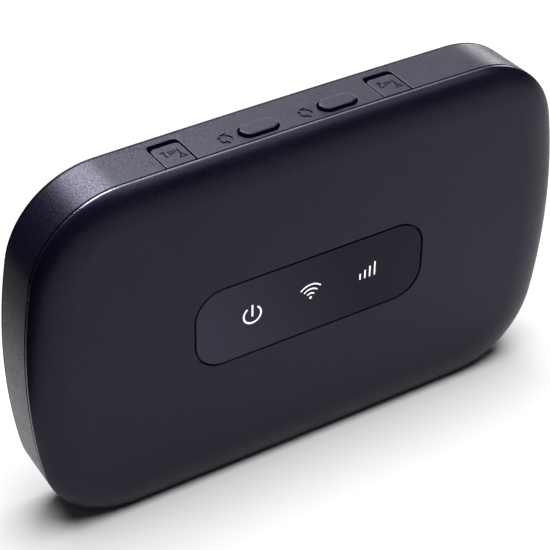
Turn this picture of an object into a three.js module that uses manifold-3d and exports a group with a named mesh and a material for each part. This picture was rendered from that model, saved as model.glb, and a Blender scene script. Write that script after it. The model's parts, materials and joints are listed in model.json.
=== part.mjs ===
// Pocket Wi-Fi hotspot with a removable battery, as an assembly of separate parts.
// Millimetres. The device stands on its long bottom edge: +X is to its right seen from the front,
// the front face looks towards -Y, and +Z is up. The origin is the middle of its footprint.

import * as THREE from "three";
import { mergeVertices } from "three/addons/utils/BufferGeometryUtils.js";
import Module from "manifold-3d";

const wasm = await Module();
wasm.setup();

// Overall body
const WIDTH = 105;
const HEIGHT = 66.7;
const THICKNESS = 12.5;
const CORNER_RADIUS = 16.9;
const SIDE_BOW = 5.34;
const EDGE_BOW = 0.44;
const REAR_DRAFT = 0.27;
const CORNER_STEPS = 8;
const SIDE_STEPS = 6;
const EDGE_STEPS = 3;

// Depths from front to back
const Y_FRONT = -THICKNESS / 2;
const Y_REAR = THICKNESS / 2;
const Y_SEAM = Y_FRONT + 2.87;
const Y_COVER_SEAM = Y_REAR - 0.75;
const SEAM_GAP = 0.1;
const GAP = 0.15;

// Room left between pieces inside the case
const SEAT_GAP = 0.1;
const CLEARANCE = 0.2;
const LOOSE_FIT = 0.3;

// Walls and edges
const FRONT_WALL = 1.3;
const FRONT_EDGE_WIDTH = 7.35;
const HOUSING_WALL = 1.5;
const COVER_EDGE = 0.55;
const FLOOR_FRONT = 0.6;
const FLOOR_REAR = 1.3;
const FLOOR_OVERLAP = 0.5;

// Main board
const BOARD_FRONT = -1.7;
const BOARD_REAR = -0.7;
const BOARD_INSET = 3.4;

// Indicator window
const WINDOW_WIDTH = 45.3;
const WINDOW_HEIGHT = 15.4;
const WINDOW_CORNER = 5.3;
const WINDOW_Z = HEIGHT / 2 + 0.25;
const WINDOW_FRONT = Y_FRONT + 0.05;
const WINDOW_REAR = Y_FRONT + 0.75;
const POCKET_FLOOR = Y_FRONT + 1.05;
const POCKET_PAD_REAR = Y_FRONT + 1.95;
const POCKET_MARGIN = 0.2;
const PAD_MARGIN = 2;
const TAPE_MARGIN = 0.3;
const INDICATORS = { power: -11.8, wifi: -0.2, signal: 11.45 };
const INDICATOR_Z = WINDOW_Z + 0.25;
const GUIDE_SIZE = 4.6;
const GUIDE_REAR = -2.6;
const LED_SIZE = 1.6;
const LED_HEIGHT = 0.55;
const BAFFLE_HALF_WIDTH = 15;
const BAFFLE_HALF_HEIGHT = 3.1;
const BAFFLE_HOLE = 3.6;

// Buttons on the top edge
const BUTTONS = { power: -7.55, wps: 7.55 };
const BUTTON_Y = -0.7;
const BUTTON_LENGTH = 6.8;
const BUTTON_DEPTH = 3.15;
const BUTTON_EDGE = 0.25;
const BUTTON_SLOT_GAP = 0.3;
const BUTTON_PROUD = 0.45;
const BUTTON_TRAVEL = 0.4;
const FLANGE_MARGIN = 0.65;
const FLANGE_THICKNESS = 0.5;
const SWITCH_LENGTH = 5;
const SWITCH_DEPTH = 2.3;
const SWITCH_BOTTOM = HEIGHT - 6.3;
const SWITCH_TOP = HEIGHT - 3.1;
const PLUNGER_LENGTH = 1.8;
const PLUNGER_DEPTH = 1;

// Antenna jacks and their flaps
const PORTS = { 1: -23.1, 2: 18.05 };
const PORT_WIDTH = 5.7;
const PORT_REAR = 3.9;
const PORT_CORNER = 1;
const FLAP_WIDTH = 5.3;
const FLAP_REAR = 2.85;
const FLAP_CORNER = 0.9;
const FLAP_THICKNESS = 0.9;
const FLAP_TOP = HEIGHT - 0.17;
const FLAP_HINGE_Y = -2.75;
const WELL_WALL = 0.6;
const WELL_FRONT_WALL = 0.45;
const WELL_BOTTOM = HEIGHT - 6.9;
const JACK_BASE = 4.6;
const JACK_BOTTOM = HEIGHT - 9.1;
const JACK_SHOULDER = HEIGHT - 7.1;
const JACK_MOUTH = HEIGHT - 5.3;
const JACK_RADIUS = 1.85;
const JACK_BARREL = 3;
const JACK_WALL = 0.5;
const JACK_FLOOR = 0.4;
const INSULATOR_HEIGHT = 2.2;
const PIN_RADIUS = 0.4;
const PIN_RECESS = 0.4;
const PIN_TAPER = 0.2;

// Battery and its bay
const BATTERY_WIDTH = 55;
const BATTERY_BOTTOM = 9.8;
const BATTERY_TOP = 53;
const BATTERY_CAP = 1.6;
const BATTERY_FRONT = FLOOR_REAR + 0.15;
const BATTERY_REAR = 4.85;
const BATTERY_CORNER = 1.2;
const BAY_MARGIN = 0.6;
const BAY_WALL = 1;
const BAY_REAR = 4.6;
const FINGER_NOTCH = 7;
const COVER_RIM_FRONT = 4.7;
const COVER_RIM_WALL = 0.9;
const COVER_PLATE = 0.45;
const CONTACT_XS = [-4.8, -1.6, 1.6, 4.8];
const CONNECTOR_LENGTH = 14;
const CONNECTOR_BOTTOM = BATTERY_TOP + 1;
const CONNECTOR_TOP = BATTERY_TOP + 4.2;
const CONNECTOR_REAR = 4.3;
const SPRING_WIDTH = 1.2;
const SPRING_RADIUS = 1.15;
const SPRING_SHEET = 0.25;
const SPRING_LIFT = 0.6;
const SPRING_OPEN_ANGLE = 0.65;
const PAD_LENGTH = 2;
const PAD_FRONT = 2;
const PAD_REAR = 3.8;

// USB receptacle in the bottom edge
const USB_WIDTH = 7.5;
const USB_DEPTH = 2.6;
const USB_Y = -0.95;
const USB_TOP = 6.2;
const USB_BOTTOM = 0.6;
const USB_SHEET = 0.3;
const USB_CORNER = 0.6;
const USB_SLOT_CORNER = 0.8;
const TONGUE_WIDTH = 3.8;
const TONGUE_THICKNESS = 0.6;
const TONGUE_RECESS = 0.8;

// Card holders in the bay's side margins
const CARD_X = 39.5;
const CARD_WIDTH = 13;
const CARD_BOTTOM = 21;
const SIM_TOP = 37;
const MEMORY_TOP = 38;
const CARD_FRONT = BOARD_REAR + 0.1;
const CARD_REAR = 0.8;
const CARD_SIDE_WALL = 0.5;
const CARD_FRONT_SHEET = 0.35;
const CARD_REAR_SHEET = 0.3;
const CARD_FLOOR = 1;
const CARD_WINDOW_SIDE = 2.5;
const CARD_WINDOW_BELOW = 4;
const CARD_WINDOW_ABOVE = 3;

// Metal cans over the circuits: the left, right, bottom and top of each
const SHIELD_HEIGHT = 1.8;
const SHIELD_SHEET = 0.3;
const SHIELD_CORNER = 0.6;
const SHIELDS = {
  modem_shield: [-32, -6, 44, 56],
  wifi_shield: [4, 26, 44, 56],
  power_shield: [-26, 10, 9, 28],
};

// Strip antennas: the left, right, bottom and top of each, and its number of turns
const STRIPS = {
  cellular_antenna_main: [-46, -37, 20, 46, 6],
  cellular_antenna_second: [37, 46, 20, 46, 6],
  wifi_antenna: [15, 32, 10, 22, 4],
};
const STRIP_LIFT = 0.5;
const STRIP_SHEET = 0.3;
const STRIP_SLOT = 1;
const STRIP_BRIDGE = 1.5;

// Case screws
const SCREW_X = 40;
const SCREW_LOW = 10;
const SCREW_HIGH = HEIGHT - 10.2;
const SCREW_HEAD_RADIUS = 1.9;
const SCREW_HEAD_HEIGHT = 1;
const SCREW_SHANK_RADIUS = 0.8;
const SCREW_FRONT = -3.5;
const CROSS_REACH = 1.1;
const CROSS_WIDTH = 0.5;
const BOSS_RADIUS = 2.2;

const group = new THREE.Group();

const MATERIALS = {
  shell: { color: 0x2c2b36, roughness: 0.55, metalness: 0 },
  window: { color: 0x25242f, roughness: 0.25, metalness: 0 },
  innerPlastic: { color: 0x1b1b20, roughness: 0.7, metalness: 0 },
  foam: { color: 0x0d0d0f, roughness: 0.95, metalness: 0 },
  diffuser: { color: 0xf1f1ee, roughness: 0.4, metalness: 0 },
  board: { color: 0x12382a, roughness: 0.45, metalness: 0 },
  tin: { color: 0xb9bcc0, roughness: 0.35, metalness: 1 },
  gold: { color: 0xd0a548, roughness: 0.3, metalness: 1 },
  steel: { color: 0x9a9ca0, roughness: 0.3, metalness: 1 },
  insulator: { color: 0xe9e7df, roughness: 0.5, metalness: 0 },
  copper: { color: 0xb8733f, roughness: 0.4, metalness: 1 },
  cell: { color: 0x3b3d44, roughness: 0.45, metalness: 0.2 },
};

function addPart(name, materialName, geometry) {
  const mesh = new THREE.Mesh(geometry, new THREE.MeshStandardMaterial(MATERIALS[materialName]));
  mesh.name = name;
  group.add(mesh);
}

// A manifold solid from any closed three.js geometry
function solid(geometry) {
  const bare = geometry.clone();
  bare.deleteAttribute("normal");
  bare.deleteAttribute("uv");
  const merged = mergeVertices(bare, 1e-4);
  const vertProperties = Float32Array.from(merged.attributes.position.array);
  const triVerts = Uint32Array.from(merged.index.array);
  return new wasm.Manifold(new wasm.Mesh({ numProp: 3, vertProperties, triVerts }));
}

function geometryOf(manifold) {
  const mesh = manifold.getMesh();
  const geometry = new THREE.BufferGeometry();
  geometry.setAttribute("position", new THREE.BufferAttribute(mesh.vertProperties, 3));
  geometry.setIndex(new THREE.BufferAttribute(mesh.triVerts, 1));
  geometry.computeVertexNormals();
  return geometry;
}

function box(x0, x1, y0, y1, z0, z1) {
  const geometry = new THREE.BoxGeometry(x1 - x0, y1 - y0, z1 - z0);
  return geometry.translate((x0 + x1) / 2, (y0 + y1) / 2, (z0 + z1) / 2);
}

function boxSolid(...limits) {
  return solid(box(...limits));
}

// A shape drawn in X and Z, extruded along Y from y0 to y1
function alongY(shape, y0, y1, bevel = { bevelEnabled: false }) {
  const geometry = new THREE.ExtrudeGeometry(shape, { depth: y1 - y0, ...bevel });
  return geometry.rotateX(Math.PI / 2).translate(0, y1, 0);
}

// A shape drawn in X and Y, extruded along Z from z0 to z1
function alongZ(shape, z0, z1, bevel = { bevelEnabled: false }) {
  const geometry = new THREE.ExtrudeGeometry(shape, { depth: z1 - z0, ...bevel });
  return geometry.translate(0, 0, z0);
}

function cylinderY(x, z, radius, y0, y1, sides = 16) {
  const geometry = new THREE.CylinderGeometry(radius, radius, y1 - y0, sides);
  return geometry.translate(x, (y0 + y1) / 2, z);
}

// A profile of [radius, height] points turned about a vertical axis
function turnedZ(profile, x, y, sides = 20) {
  const points = profile.map(([radius, height]) => new THREE.Vector2(radius, height));
  return new THREE.LatheGeometry(points, sides).rotateX(Math.PI / 2).translate(x, y, 0);
}

function roundedRectangle(x0, x1, z0, z1, radius, steps = 4) {
  const corners = [
    [x1 - radius, z0 + radius, -Math.PI / 2],
    [x1 - radius, z1 - radius, 0],
    [x0 + radius, z1 - radius, Math.PI / 2],
    [x0 + radius, z0 + radius, Math.PI],
  ];
  const turn = Math.PI / 2;
  const points = corners.flatMap(([x, z, start]) => arcPoints(x, z, radius, start, start + turn, steps));
  return new THREE.Shape(points);
}

function arcPoints(x, z, radius, start, end, steps) {
  return new THREE.EllipseCurve(x, z, radius, radius, start, end).getPoints(steps);
}

// Radius of the shallow arc that bulges by bow over a half chord
function bowRadius(halfChord, bow) {
  return (halfChord ** 2 + bow ** 2) / (2 * bow);
}

// The body's outline: bowed long edges, more strongly bowed ends, and round corners that run into
// both. Insetting keeps every arc's centre. The edges' odd number of steps leaves a flat middle
// stretch on the bottom for the device to stand on.
function bodyOutline(inset = 0) {
  const halfWidth = WIDTH / 2;
  const halfHeight = HEIGHT / 2;
  const edgeRadius = bowRadius(halfWidth, EDGE_BOW);
  const sideRadius = bowRadius(halfHeight, SIDE_BOW);
  const edgeCentre = halfHeight - edgeRadius;
  const sideCentre = halfWidth - sideRadius;
  const corner = cornerCentre(edgeCentre, edgeRadius, sideCentre, sideRadius);
  const edgeAngle = Math.atan2(corner.y - edgeCentre, corner.x);
  const sideAngle = Math.atan2(corner.y, corner.x - sideCentre);
  const quarter = [
    ...arcPoints(sideCentre, 0, sideRadius - inset, 0, sideAngle, SIDE_STEPS / 2),
    ...arcPoints(corner.x, corner.y, CORNER_RADIUS - inset, sideAngle, edgeAngle, CORNER_STEPS).slice(1),
  ];
  const upper = [...quarter, ...quarter.map((p) => new THREE.Vector2(-p.x, p.y)).reverse()];
  const edgePoints = arcPoints(0, edgeCentre, edgeRadius - inset, edgeAngle, Math.PI - edgeAngle, EDGE_STEPS);
  upper.splice(quarter.length, 0, ...edgePoints.slice(1, -1));
  const lower = upper.slice(1, -1).map((p) => new THREE.Vector2(p.x, -p.y)).reverse();
  const lowest = edgePoints[1].y + inset;
  return new THREE.Shape([...upper, ...lower].map((p) => new THREE.Vector2(p.x, p.y + lowest)));
}

// Centre of the corner arc that touches the edge's arc and the end's arc from inside
function cornerCentre(edgeCentre, edgeRadius, sideCentre, sideRadius) {
  const toEdge = edgeRadius - CORNER_RADIUS;
  const toSide = sideRadius - CORNER_RADIUS;
  const between = new THREE.Vector2(sideCentre, -edgeCentre);
  const apart = between.length();
  const along = (toEdge ** 2 - toSide ** 2 + apart ** 2) / (2 * apart);
  const across = Math.sqrt(toEdge ** 2 - along ** 2);
  between.normalize();
  return new THREE.Vector2(
    along * between.x + across * between.y,
    edgeCentre + along * between.y - across * between.x,
  );
}

// The rear housing narrows slightly towards the back. Its bottom stays level.
function taper(geometry) {
  const position = geometry.attributes.position;
  for (let i = 0; i < position.count; i += 1) {
    const share = (position.getY(i) - Y_SEAM) / (Y_REAR - Y_SEAM);
    position.setX(i, position.getX(i) * (1 - (share * REAR_DRAFT) / (WIDTH / 2)));
    position.setZ(i, position.getZ(i) * (1 - (share * REAR_DRAFT) / HEIGHT));
  }
  return geometry;
}

function taperedSlab(inset, y0, y1) {
  return solid(taper(alongY(bodyOutline(inset), y0, y1)));
}

// A stadium shape, such as a button seen from above
function stadium(x, y, length, depth, steps = 8) {
  const radius = depth / 2;
  const reach = (length - depth) / 2;
  return new THREE.Shape([
    ...arcPoints(x + reach, y, radius, -Math.PI / 2, Math.PI / 2, steps),
    ...arcPoints(x - reach, y, radius, Math.PI / 2, (3 * Math.PI) / 2, steps),
  ]);
}

// Square front corners and rounded rear corners, for the flaps and their openings
function flapOutline(x, width, front, rear, radius, steps = 4) {
  const half = width / 2;
  return new THREE.Shape([
    new THREE.Vector2(x - half, front),
    new THREE.Vector2(x + half, front),
    ...arcPoints(x + half - radius, rear - radius, radius, 0, Math.PI / 2, steps),
    ...arcPoints(x - half + radius, rear - radius, radius, Math.PI / 2, Math.PI, steps),
  ]);
}

function screwPlaces() {
  return [
    [-SCREW_X, SCREW_LOW],
    [SCREW_X, SCREW_LOW],
    [-SCREW_X, SCREW_HIGH],
    [SCREW_X, SCREW_HIGH],
  ];
}

function windowOutline(margin) {
  const halfWidth = WINDOW_WIDTH / 2 + margin;
  const halfHeight = WINDOW_HEIGHT / 2 + margin;
  const bottom = WINDOW_Z - halfHeight;
  return roundedRectangle(-halfWidth, halfWidth, bottom, bottom + 2 * halfHeight, WINDOW_CORNER + margin, 5);
}

function indicatorBox(x, half, y0, y1) {
  return box(x - half, x + half, y0, y1, INDICATOR_Z - half, INDICATOR_Z + half);
}

// Half of a rounded slab: the elliptical roll-over faces the front, and the back is open
function domedSlab(inset, front, edgeWidth) {
  const bevel = {
    bevelEnabled: true,
    bevelThickness: Y_SEAM - front,
    bevelSize: edgeWidth,
    bevelOffset: -edgeWidth - inset,
    bevelSegments: 6,
  };
  const slab = solid(alongY(bodyOutline(), Y_SEAM, Y_SEAM + 1, bevel));
  const behind = boxSolid(-WIDTH, WIDTH, Y_SEAM - SEAM_GAP / 2, Y_REAR, -HEIGHT, 2 * HEIGHT);
  return slab.subtract(behind);
}

function frontShell() {
  let shell = domedSlab(0, Y_FRONT, FRONT_EDGE_WIDTH);
  shell = shell.subtract(domedSlab(FRONT_WALL, Y_FRONT + FRONT_WALL, FRONT_EDGE_WIDTH - FRONT_WALL));
  shell = shell.add(solid(alongY(windowOutline(PAD_MARGIN), Y_FRONT + 1, POCKET_PAD_REAR)));
  shell = shell.subtract(solid(alongY(windowOutline(POCKET_MARGIN), Y_FRONT - 1, POCKET_FLOOR)));
  for (const x of Object.values(INDICATORS)) {
    shell = shell.subtract(solid(indicatorBox(x, GUIDE_SIZE / 2 + CLEARANCE, Y_FRONT, 0)));
  }
  for (const [x, z] of screwPlaces()) {
    shell = shell.add(solid(cylinderY(x, z, BOSS_RADIUS, Y_FRONT + 1, FLOOR_FRONT - GAP)));
    shell = shell.subtract(solid(cylinderY(x, z, SCREW_SHANK_RADIUS + GAP, Y_FRONT + 2, FLOOR_FRONT)));
  }
  addPart("front_shell", "shell", geometryOf(shell));
}

function indicatorWindow() {
  addPart("indicator_window", "window", alongY(windowOutline(0), WINDOW_FRONT, WINDOW_REAR));
  const tapeRear = POCKET_FLOOR - SEAT_GAP / 2;
  const tape = solid(alongY(windowOutline(-TAPE_MARGIN), WINDOW_REAR + SEAT_GAP / 2, tapeRear));
  const opening = solid(alongY(windowOutline(-PAD_MARGIN), Y_FRONT, 0));
  addPart("window_tape", "foam", geometryOf(tape.subtract(opening)));
}

function indicatorLights() {
  const boardFace = BOARD_FRONT - SEAT_GAP;
  let baffle = boxSolid(
    -BAFFLE_HALF_WIDTH, BAFFLE_HALF_WIDTH,
    GUIDE_REAR + SEAT_GAP, boardFace,
    INDICATOR_Z - BAFFLE_HALF_HEIGHT, INDICATOR_Z + BAFFLE_HALF_HEIGHT,
  );
  for (const [name, x] of Object.entries(INDICATORS)) {
    const guide = indicatorBox(x, GUIDE_SIZE / 2, WINDOW_REAR + SEAT_GAP, GUIDE_REAR);
    addPart(`${name}_light_guide`, "diffuser", guide);
    addPart(`${name}_led`, "diffuser", indicatorBox(x, LED_SIZE / 2, boardFace - LED_HEIGHT, boardFace));
    baffle = baffle.subtract(solid(indicatorBox(x, BAFFLE_HOLE / 2, Y_FRONT, 0)));
  }
  addPart("light_baffle", "foam", geometryOf(baffle));
}

// The ring-shaped wall, the floor between the board and the battery, and the battery bay
function rearHousing() {
  const front = Y_SEAM + SEAM_GAP / 2;
  const rear = Y_COVER_SEAM - SEAM_GAP / 2;
  let housing = taperedSlab(0, front, rear);
  housing = housing.subtract(taperedSlab(HOUSING_WALL, front - 1, rear + 1));
  housing = housing.add(taperedSlab(HOUSING_WALL - FLOOR_OVERLAP, FLOOR_FRONT, FLOOR_REAR));
  housing = housing.add(batteryBay());
  housing = housing.subtract(boxSolid(
    -CONNECTOR_LENGTH / 2 - LOOSE_FIT, CONNECTOR_LENGTH / 2 + LOOSE_FIT,
    0, Y_REAR,
    BATTERY_TOP + LOOSE_FIT, CONNECTOR_TOP + LOOSE_FIT,
  ));
  housing = housing.subtract(cardOpening(CARD_X, SIM_TOP)).subtract(cardOpening(-CARD_X, MEMORY_TOP));
  for (const [x, z] of screwPlaces()) {
    housing = housing.subtract(solid(cylinderY(x, z, SCREW_SHANK_RADIUS + CLEARANCE, 0, 2)));
  }
  for (const x of Object.values(BUTTONS)) {
    housing = housing.subtract(switchSpace(x));
  }
  for (const x of Object.values(PORTS)) {
    housing = cutPort(housing, x);
  }
  const usbHalf = USB_WIDTH / 2 + LOOSE_FIT;
  const usbDeep = USB_DEPTH / 2 + LOOSE_FIT;
  const usb = roundedRectangle(-usbHalf, usbHalf, USB_Y - usbDeep, USB_Y + usbDeep, USB_SLOT_CORNER, 3);
  housing = housing.subtract(solid(alongZ(usb, -1, 3)));
  addPart("rear_housing", "shell", geometryOf(housing));
}

function batteryBay() {
  const side = BATTERY_WIDTH / 2 + BAY_MARGIN;
  const bottom = BATTERY_BOTTOM - BAY_MARGIN;
  const top = BATTERY_TOP + BAY_MARGIN;
  const outer = boxSolid(
    -side - BAY_WALL, side + BAY_WALL,
    FLOOR_FRONT + SEAT_GAP, BAY_REAR,
    bottom - BAY_WALL, top + BAY_WALL,
  );
  const inner = boxSolid(-side, side, FLOOR_REAR, Y_REAR, bottom, top);
  const fingerNotch = solid(cylinderY(0, bottom, FINGER_NOTCH, FLOOR_REAR, Y_REAR, 24));
  return outer.subtract(inner).subtract(fingerNotch);
}

function cardOpening(x, top) {
  const half = CARD_WIDTH / 2 + CLEARANCE;
  return boxSolid(x - half, x + half, 0, 2, CARD_BOTTOM - CLEARANCE, top + CLEARANCE);
}

// The slot for a button's cap, and room below it for the flange and the switch
function switchSpace(x) {
  const length = BUTTON_LENGTH + 2 * BUTTON_SLOT_GAP;
  const depth = BUTTON_DEPTH + 2 * BUTTON_SLOT_GAP;
  const slot = solid(alongZ(stadium(x, BUTTON_Y, length, depth), HEIGHT - 3, HEIGHT + 1));
  const reach = BUTTON_LENGTH / 2 + FLANGE_MARGIN + LOOSE_FIT;
  return slot.add(boxSolid(x - reach, x + reach, 0, 2, SWITCH_BOTTOM - LOOSE_FIT, HEIGHT - HOUSING_WALL));
}

// The notch that a flap closes, with a rectangular well round the jack below it
function cutPort(housing, x) {
  const half = PORT_WIDTH / 2;
  const front = FLAP_HINGE_Y;
  const well = boxSolid(
    x - half - WELL_WALL, x + half + WELL_WALL,
    front - WELL_FRONT_WALL, PORT_REAR + WELL_WALL,
    WELL_BOTTOM, HEIGHT - HOUSING_WALL + LOOSE_FIT,
  );
  const opening = flapOutline(x, PORT_WIDTH, front, PORT_REAR, PORT_CORNER);
  const bore = solid(alongZ(opening, JACK_BOTTOM - CLEARANCE, HEIGHT + 1));
  const ledge = FLAP_TOP - FLAP_THICKNESS - CLEARANCE;
  const notch = boxSolid(x - half, x + half, Y_FRONT, front + 1, ledge, HEIGHT + 1);
  return housing.add(well).subtract(bore).subtract(notch);
}

function antennaPort(number, x) {
  const flapZ = FLAP_TOP - FLAP_THICKNESS / 2;
  const knuckle = new THREE.CylinderGeometry(FLAP_THICKNESS / 2, FLAP_THICKNESS / 2, FLAP_WIDTH, 16);
  knuckle.rotateZ(Math.PI / 2).translate(x, FLAP_HINGE_Y, flapZ);
  const outline = flapOutline(x, FLAP_WIDTH, FLAP_HINGE_Y, FLAP_REAR, FLAP_CORNER);
  const plate = alongZ(outline, FLAP_TOP - FLAP_THICKNESS, FLAP_TOP);
  addPart(`antenna_flap_${number}`, "shell", geometryOf(solid(plate).add(solid(knuckle))));

  const half = JACK_BASE / 2;
  const barrel = rod(x, JACK_RADIUS, JACK_MOUTH - JACK_BARREL, JACK_MOUTH);
  const bore = rod(x, JACK_RADIUS - JACK_WALL, JACK_BOTTOM + JACK_FLOOR, JACK_MOUTH + 1);
  const base = boxSolid(x - half, x + half, -half, half, JACK_BOTTOM, JACK_SHOULDER);
  addPart(`antenna_jack_${number}_shell`, "gold", geometryOf(base.add(barrel).subtract(bore)));

  const bottom = JACK_BOTTOM + JACK_FLOOR + SEAT_GAP;
  const top = bottom + INSULATOR_HEIGHT;
  const inner = PIN_RADIUS + GAP;
  const outer = JACK_RADIUS - JACK_WALL - SEAT_GAP;
  const ring = [[inner, bottom], [outer, bottom], [outer, top], [inner, top], [inner, bottom]];
  addPart(`antenna_jack_${number}_insulator`, "insulator", turnedZ(ring, x, 0));
  const tip = JACK_MOUTH - PIN_RECESS;
  const neck = tip - PIN_TAPER;
  const pin = [[0, bottom], [PIN_RADIUS, bottom], [PIN_RADIUS, neck], [PIN_RADIUS / 2, tip], [0, tip]];
  addPart(`antenna_jack_${number}_contact`, "gold", turnedZ(pin, x, 0, 12));
}

// An upright round bar
function rod(x, radius, z0, z1) {
  return solid(turnedZ([[0, z0], [radius, z0], [radius, z1], [0, z1]], x, 0));
}

// A cap that stands proud of the edge, on a flange that stops it from falling out
function button(name, x) {
  const ceiling = HEIGHT - HOUSING_WALL;
  const flangeTop = ceiling - GAP;
  const flangeBottom = flangeTop - FLANGE_THICKNESS;
  const bevel = {
    bevelEnabled: true,
    bevelThickness: BUTTON_EDGE,
    bevelSize: BUTTON_EDGE,
    bevelOffset: -BUTTON_EDGE,
    bevelSegments: 2,
  };
  const crown = stadium(x, BUTTON_Y, BUTTON_LENGTH, BUTTON_DEPTH);
  const cap = solid(alongZ(crown, flangeTop, HEIGHT + BUTTON_PROUD - BUTTON_EDGE, bevel));
  const flangeLength = BUTTON_LENGTH + 2 * FLANGE_MARGIN;
  const flangeDepth = BUTTON_DEPTH + 2 * FLANGE_MARGIN;
  const flange = stadium(x, BUTTON_Y, flangeLength, flangeDepth);
  addPart(`${name}_button`, "shell", geometryOf(cap.add(solid(alongZ(flange, flangeBottom, flangeTop)))));

  const plungerBottom = SWITCH_TOP - SEAT_GAP / 2;
  const plungerTop = flangeBottom - SEAT_GAP;
  const plunger = buttonBlock(x, PLUNGER_LENGTH, PLUNGER_DEPTH, plungerBottom, plungerTop);
  addPart(`${name}_switch_plunger`, "innerPlastic", plunger);

  const body = solid(buttonBlock(x, SWITCH_LENGTH, SWITCH_DEPTH, SWITCH_BOTTOM, SWITCH_TOP));
  const pocketLength = PLUNGER_LENGTH + 2 * CLEARANCE;
  const pocketDepth = PLUNGER_DEPTH + 2 * CLEARANCE;
  const pocketFloor = plungerBottom - BUTTON_TRAVEL - SEAT_GAP;
  const pocket = solid(buttonBlock(x, pocketLength, pocketDepth, pocketFloor, SWITCH_TOP + 1));
  addPart(`${name}_switch`, "tin", geometryOf(body.subtract(pocket)));
}

// A block centred under a button
function buttonBlock(x, length, depth, z0, z1) {
  return box(x - length / 2, x + length / 2, BUTTON_Y - depth / 2, BUTTON_Y + depth / 2, z0, z1);
}

function mainBoard() {
  let board = solid(alongY(bodyOutline(BOARD_INSET), BOARD_FRONT, BOARD_REAR));
  const notches = [
    ...Object.values(PORTS).map((x) => [x, PORT_WIDTH / 2 + WELL_WALL, JACK_BOTTOM, HEIGHT]),
    ...Object.values(BUTTONS).map((x) => [x, SWITCH_LENGTH / 2, SWITCH_BOTTOM, HEIGHT]),
    [0, USB_WIDTH / 2, 0, USB_TOP + 2 * CLEARANCE],
  ];
  for (const [x, half, z0, z1] of notches) {
    const reach = half + CLEARANCE;
    board = board.subtract(boxSolid(x - reach, x + reach, Y_FRONT, Y_REAR, z0 - CLEARANCE, z1));
  }
  for (const [x, z] of screwPlaces()) {
    board = board.subtract(solid(cylinderY(x, z, BOSS_RADIUS + LOOSE_FIT, Y_FRONT, Y_REAR)));
  }
  addPart("main_board", "board", geometryOf(board));
}

// A pressed metal can, open towards the board
function shieldCan(name, x0, x1, z0, z1) {
  const rear = BOARD_FRONT - SEAT_GAP;
  const sheet = SHIELD_SHEET;
  const can = solid(alongY(roundedRectangle(x0, x1, z0, z1, SHIELD_CORNER, 2), rear - SHIELD_HEIGHT, rear));
  const ceiling = rear - SHIELD_HEIGHT + sheet;
  const inside = boxSolid(x0 + sheet, x1 - sheet, ceiling, rear + 1, z0 + sheet, z1 - sheet);
  addPart(name, "tin", geometryOf(can.subtract(inside)));
}

// A card cage on the board's rear, open at the top for the card to slide in
function cardHolder(name, x, top) {
  const half = CARD_WIDTH / 2;
  const cage = boxSolid(x - half, x + half, CARD_FRONT, CARD_REAR, CARD_BOTTOM, top);
  const slot = boxSolid(
    x - half + CARD_SIDE_WALL, x + half - CARD_SIDE_WALL,
    CARD_FRONT + CARD_FRONT_SHEET, CARD_REAR - CARD_REAR_SHEET,
    CARD_BOTTOM + CARD_FLOOR, top + 1,
  );
  const reach = half - CARD_WINDOW_SIDE;
  const low = CARD_BOTTOM + CARD_WINDOW_BELOW;
  const window = boxSolid(x - reach, x + reach, 0, 2, low, top - CARD_WINDOW_ABOVE);
  addPart(name, "tin", geometryOf(cage.subtract(slot).subtract(window)));
}

function usbReceptacle() {
  const half = USB_WIDTH / 2;
  const deep = USB_DEPTH / 2;
  const outline = roundedRectangle(-half, half, USB_Y - deep, USB_Y + deep, USB_CORNER, 3);
  const shell = solid(alongZ(outline, USB_BOTTOM, USB_TOP));
  const inside = boxSolid(
    -half + USB_SHEET, half - USB_SHEET,
    USB_Y - deep + USB_SHEET, USB_Y + deep - USB_SHEET,
    0, USB_TOP - 2 * USB_SHEET,
  );
  addPart("usb_shell", "tin", geometryOf(shell.subtract(inside)));
  const tongue = box(
    -TONGUE_WIDTH / 2, TONGUE_WIDTH / 2,
    USB_Y - TONGUE_THICKNESS / 2, USB_Y + TONGUE_THICKNESS / 2,
    USB_BOTTOM + TONGUE_RECESS, USB_TOP - 2 * USB_SHEET - SEAT_GAP,
  );
  addPart("usb_tongue", "innerPlastic", tongue);
}

function batteryConnector() {
  const half = CONNECTOR_LENGTH / 2;
  const block = box(-half, half, BOARD_REAR + SEAT_GAP, CONNECTOR_REAR, CONNECTOR_BOTTOM, CONNECTOR_TOP);
  addPart("battery_connector", "innerPlastic", block);
  const centreY = (PAD_FRONT + PAD_REAR) / 2;
  const centreZ = CONNECTOR_BOTTOM + SPRING_LIFT;
  const start = Math.PI + SPRING_OPEN_ANGLE;
  const end = 2 * Math.PI - SPRING_OPEN_ANGLE;
  for (const [index, x] of CONTACT_XS.entries()) {
    const strip = new THREE.Shape([
      ...arcPoints(centreY, centreZ, SPRING_RADIUS, start, end, 8),
      ...arcPoints(centreY, centreZ, SPRING_RADIUS - SPRING_SHEET, start, end, 8).reverse(),
    ]);
    const spring = new THREE.ExtrudeGeometry(strip, { depth: SPRING_WIDTH, bevelEnabled: false });
    spring.rotateZ(Math.PI / 2).rotateY(Math.PI / 2).translate(x - SPRING_WIDTH / 2, 0, 0);
    addPart(`battery_contact_${index + 1}`, "gold", spring);
  }
}

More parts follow.
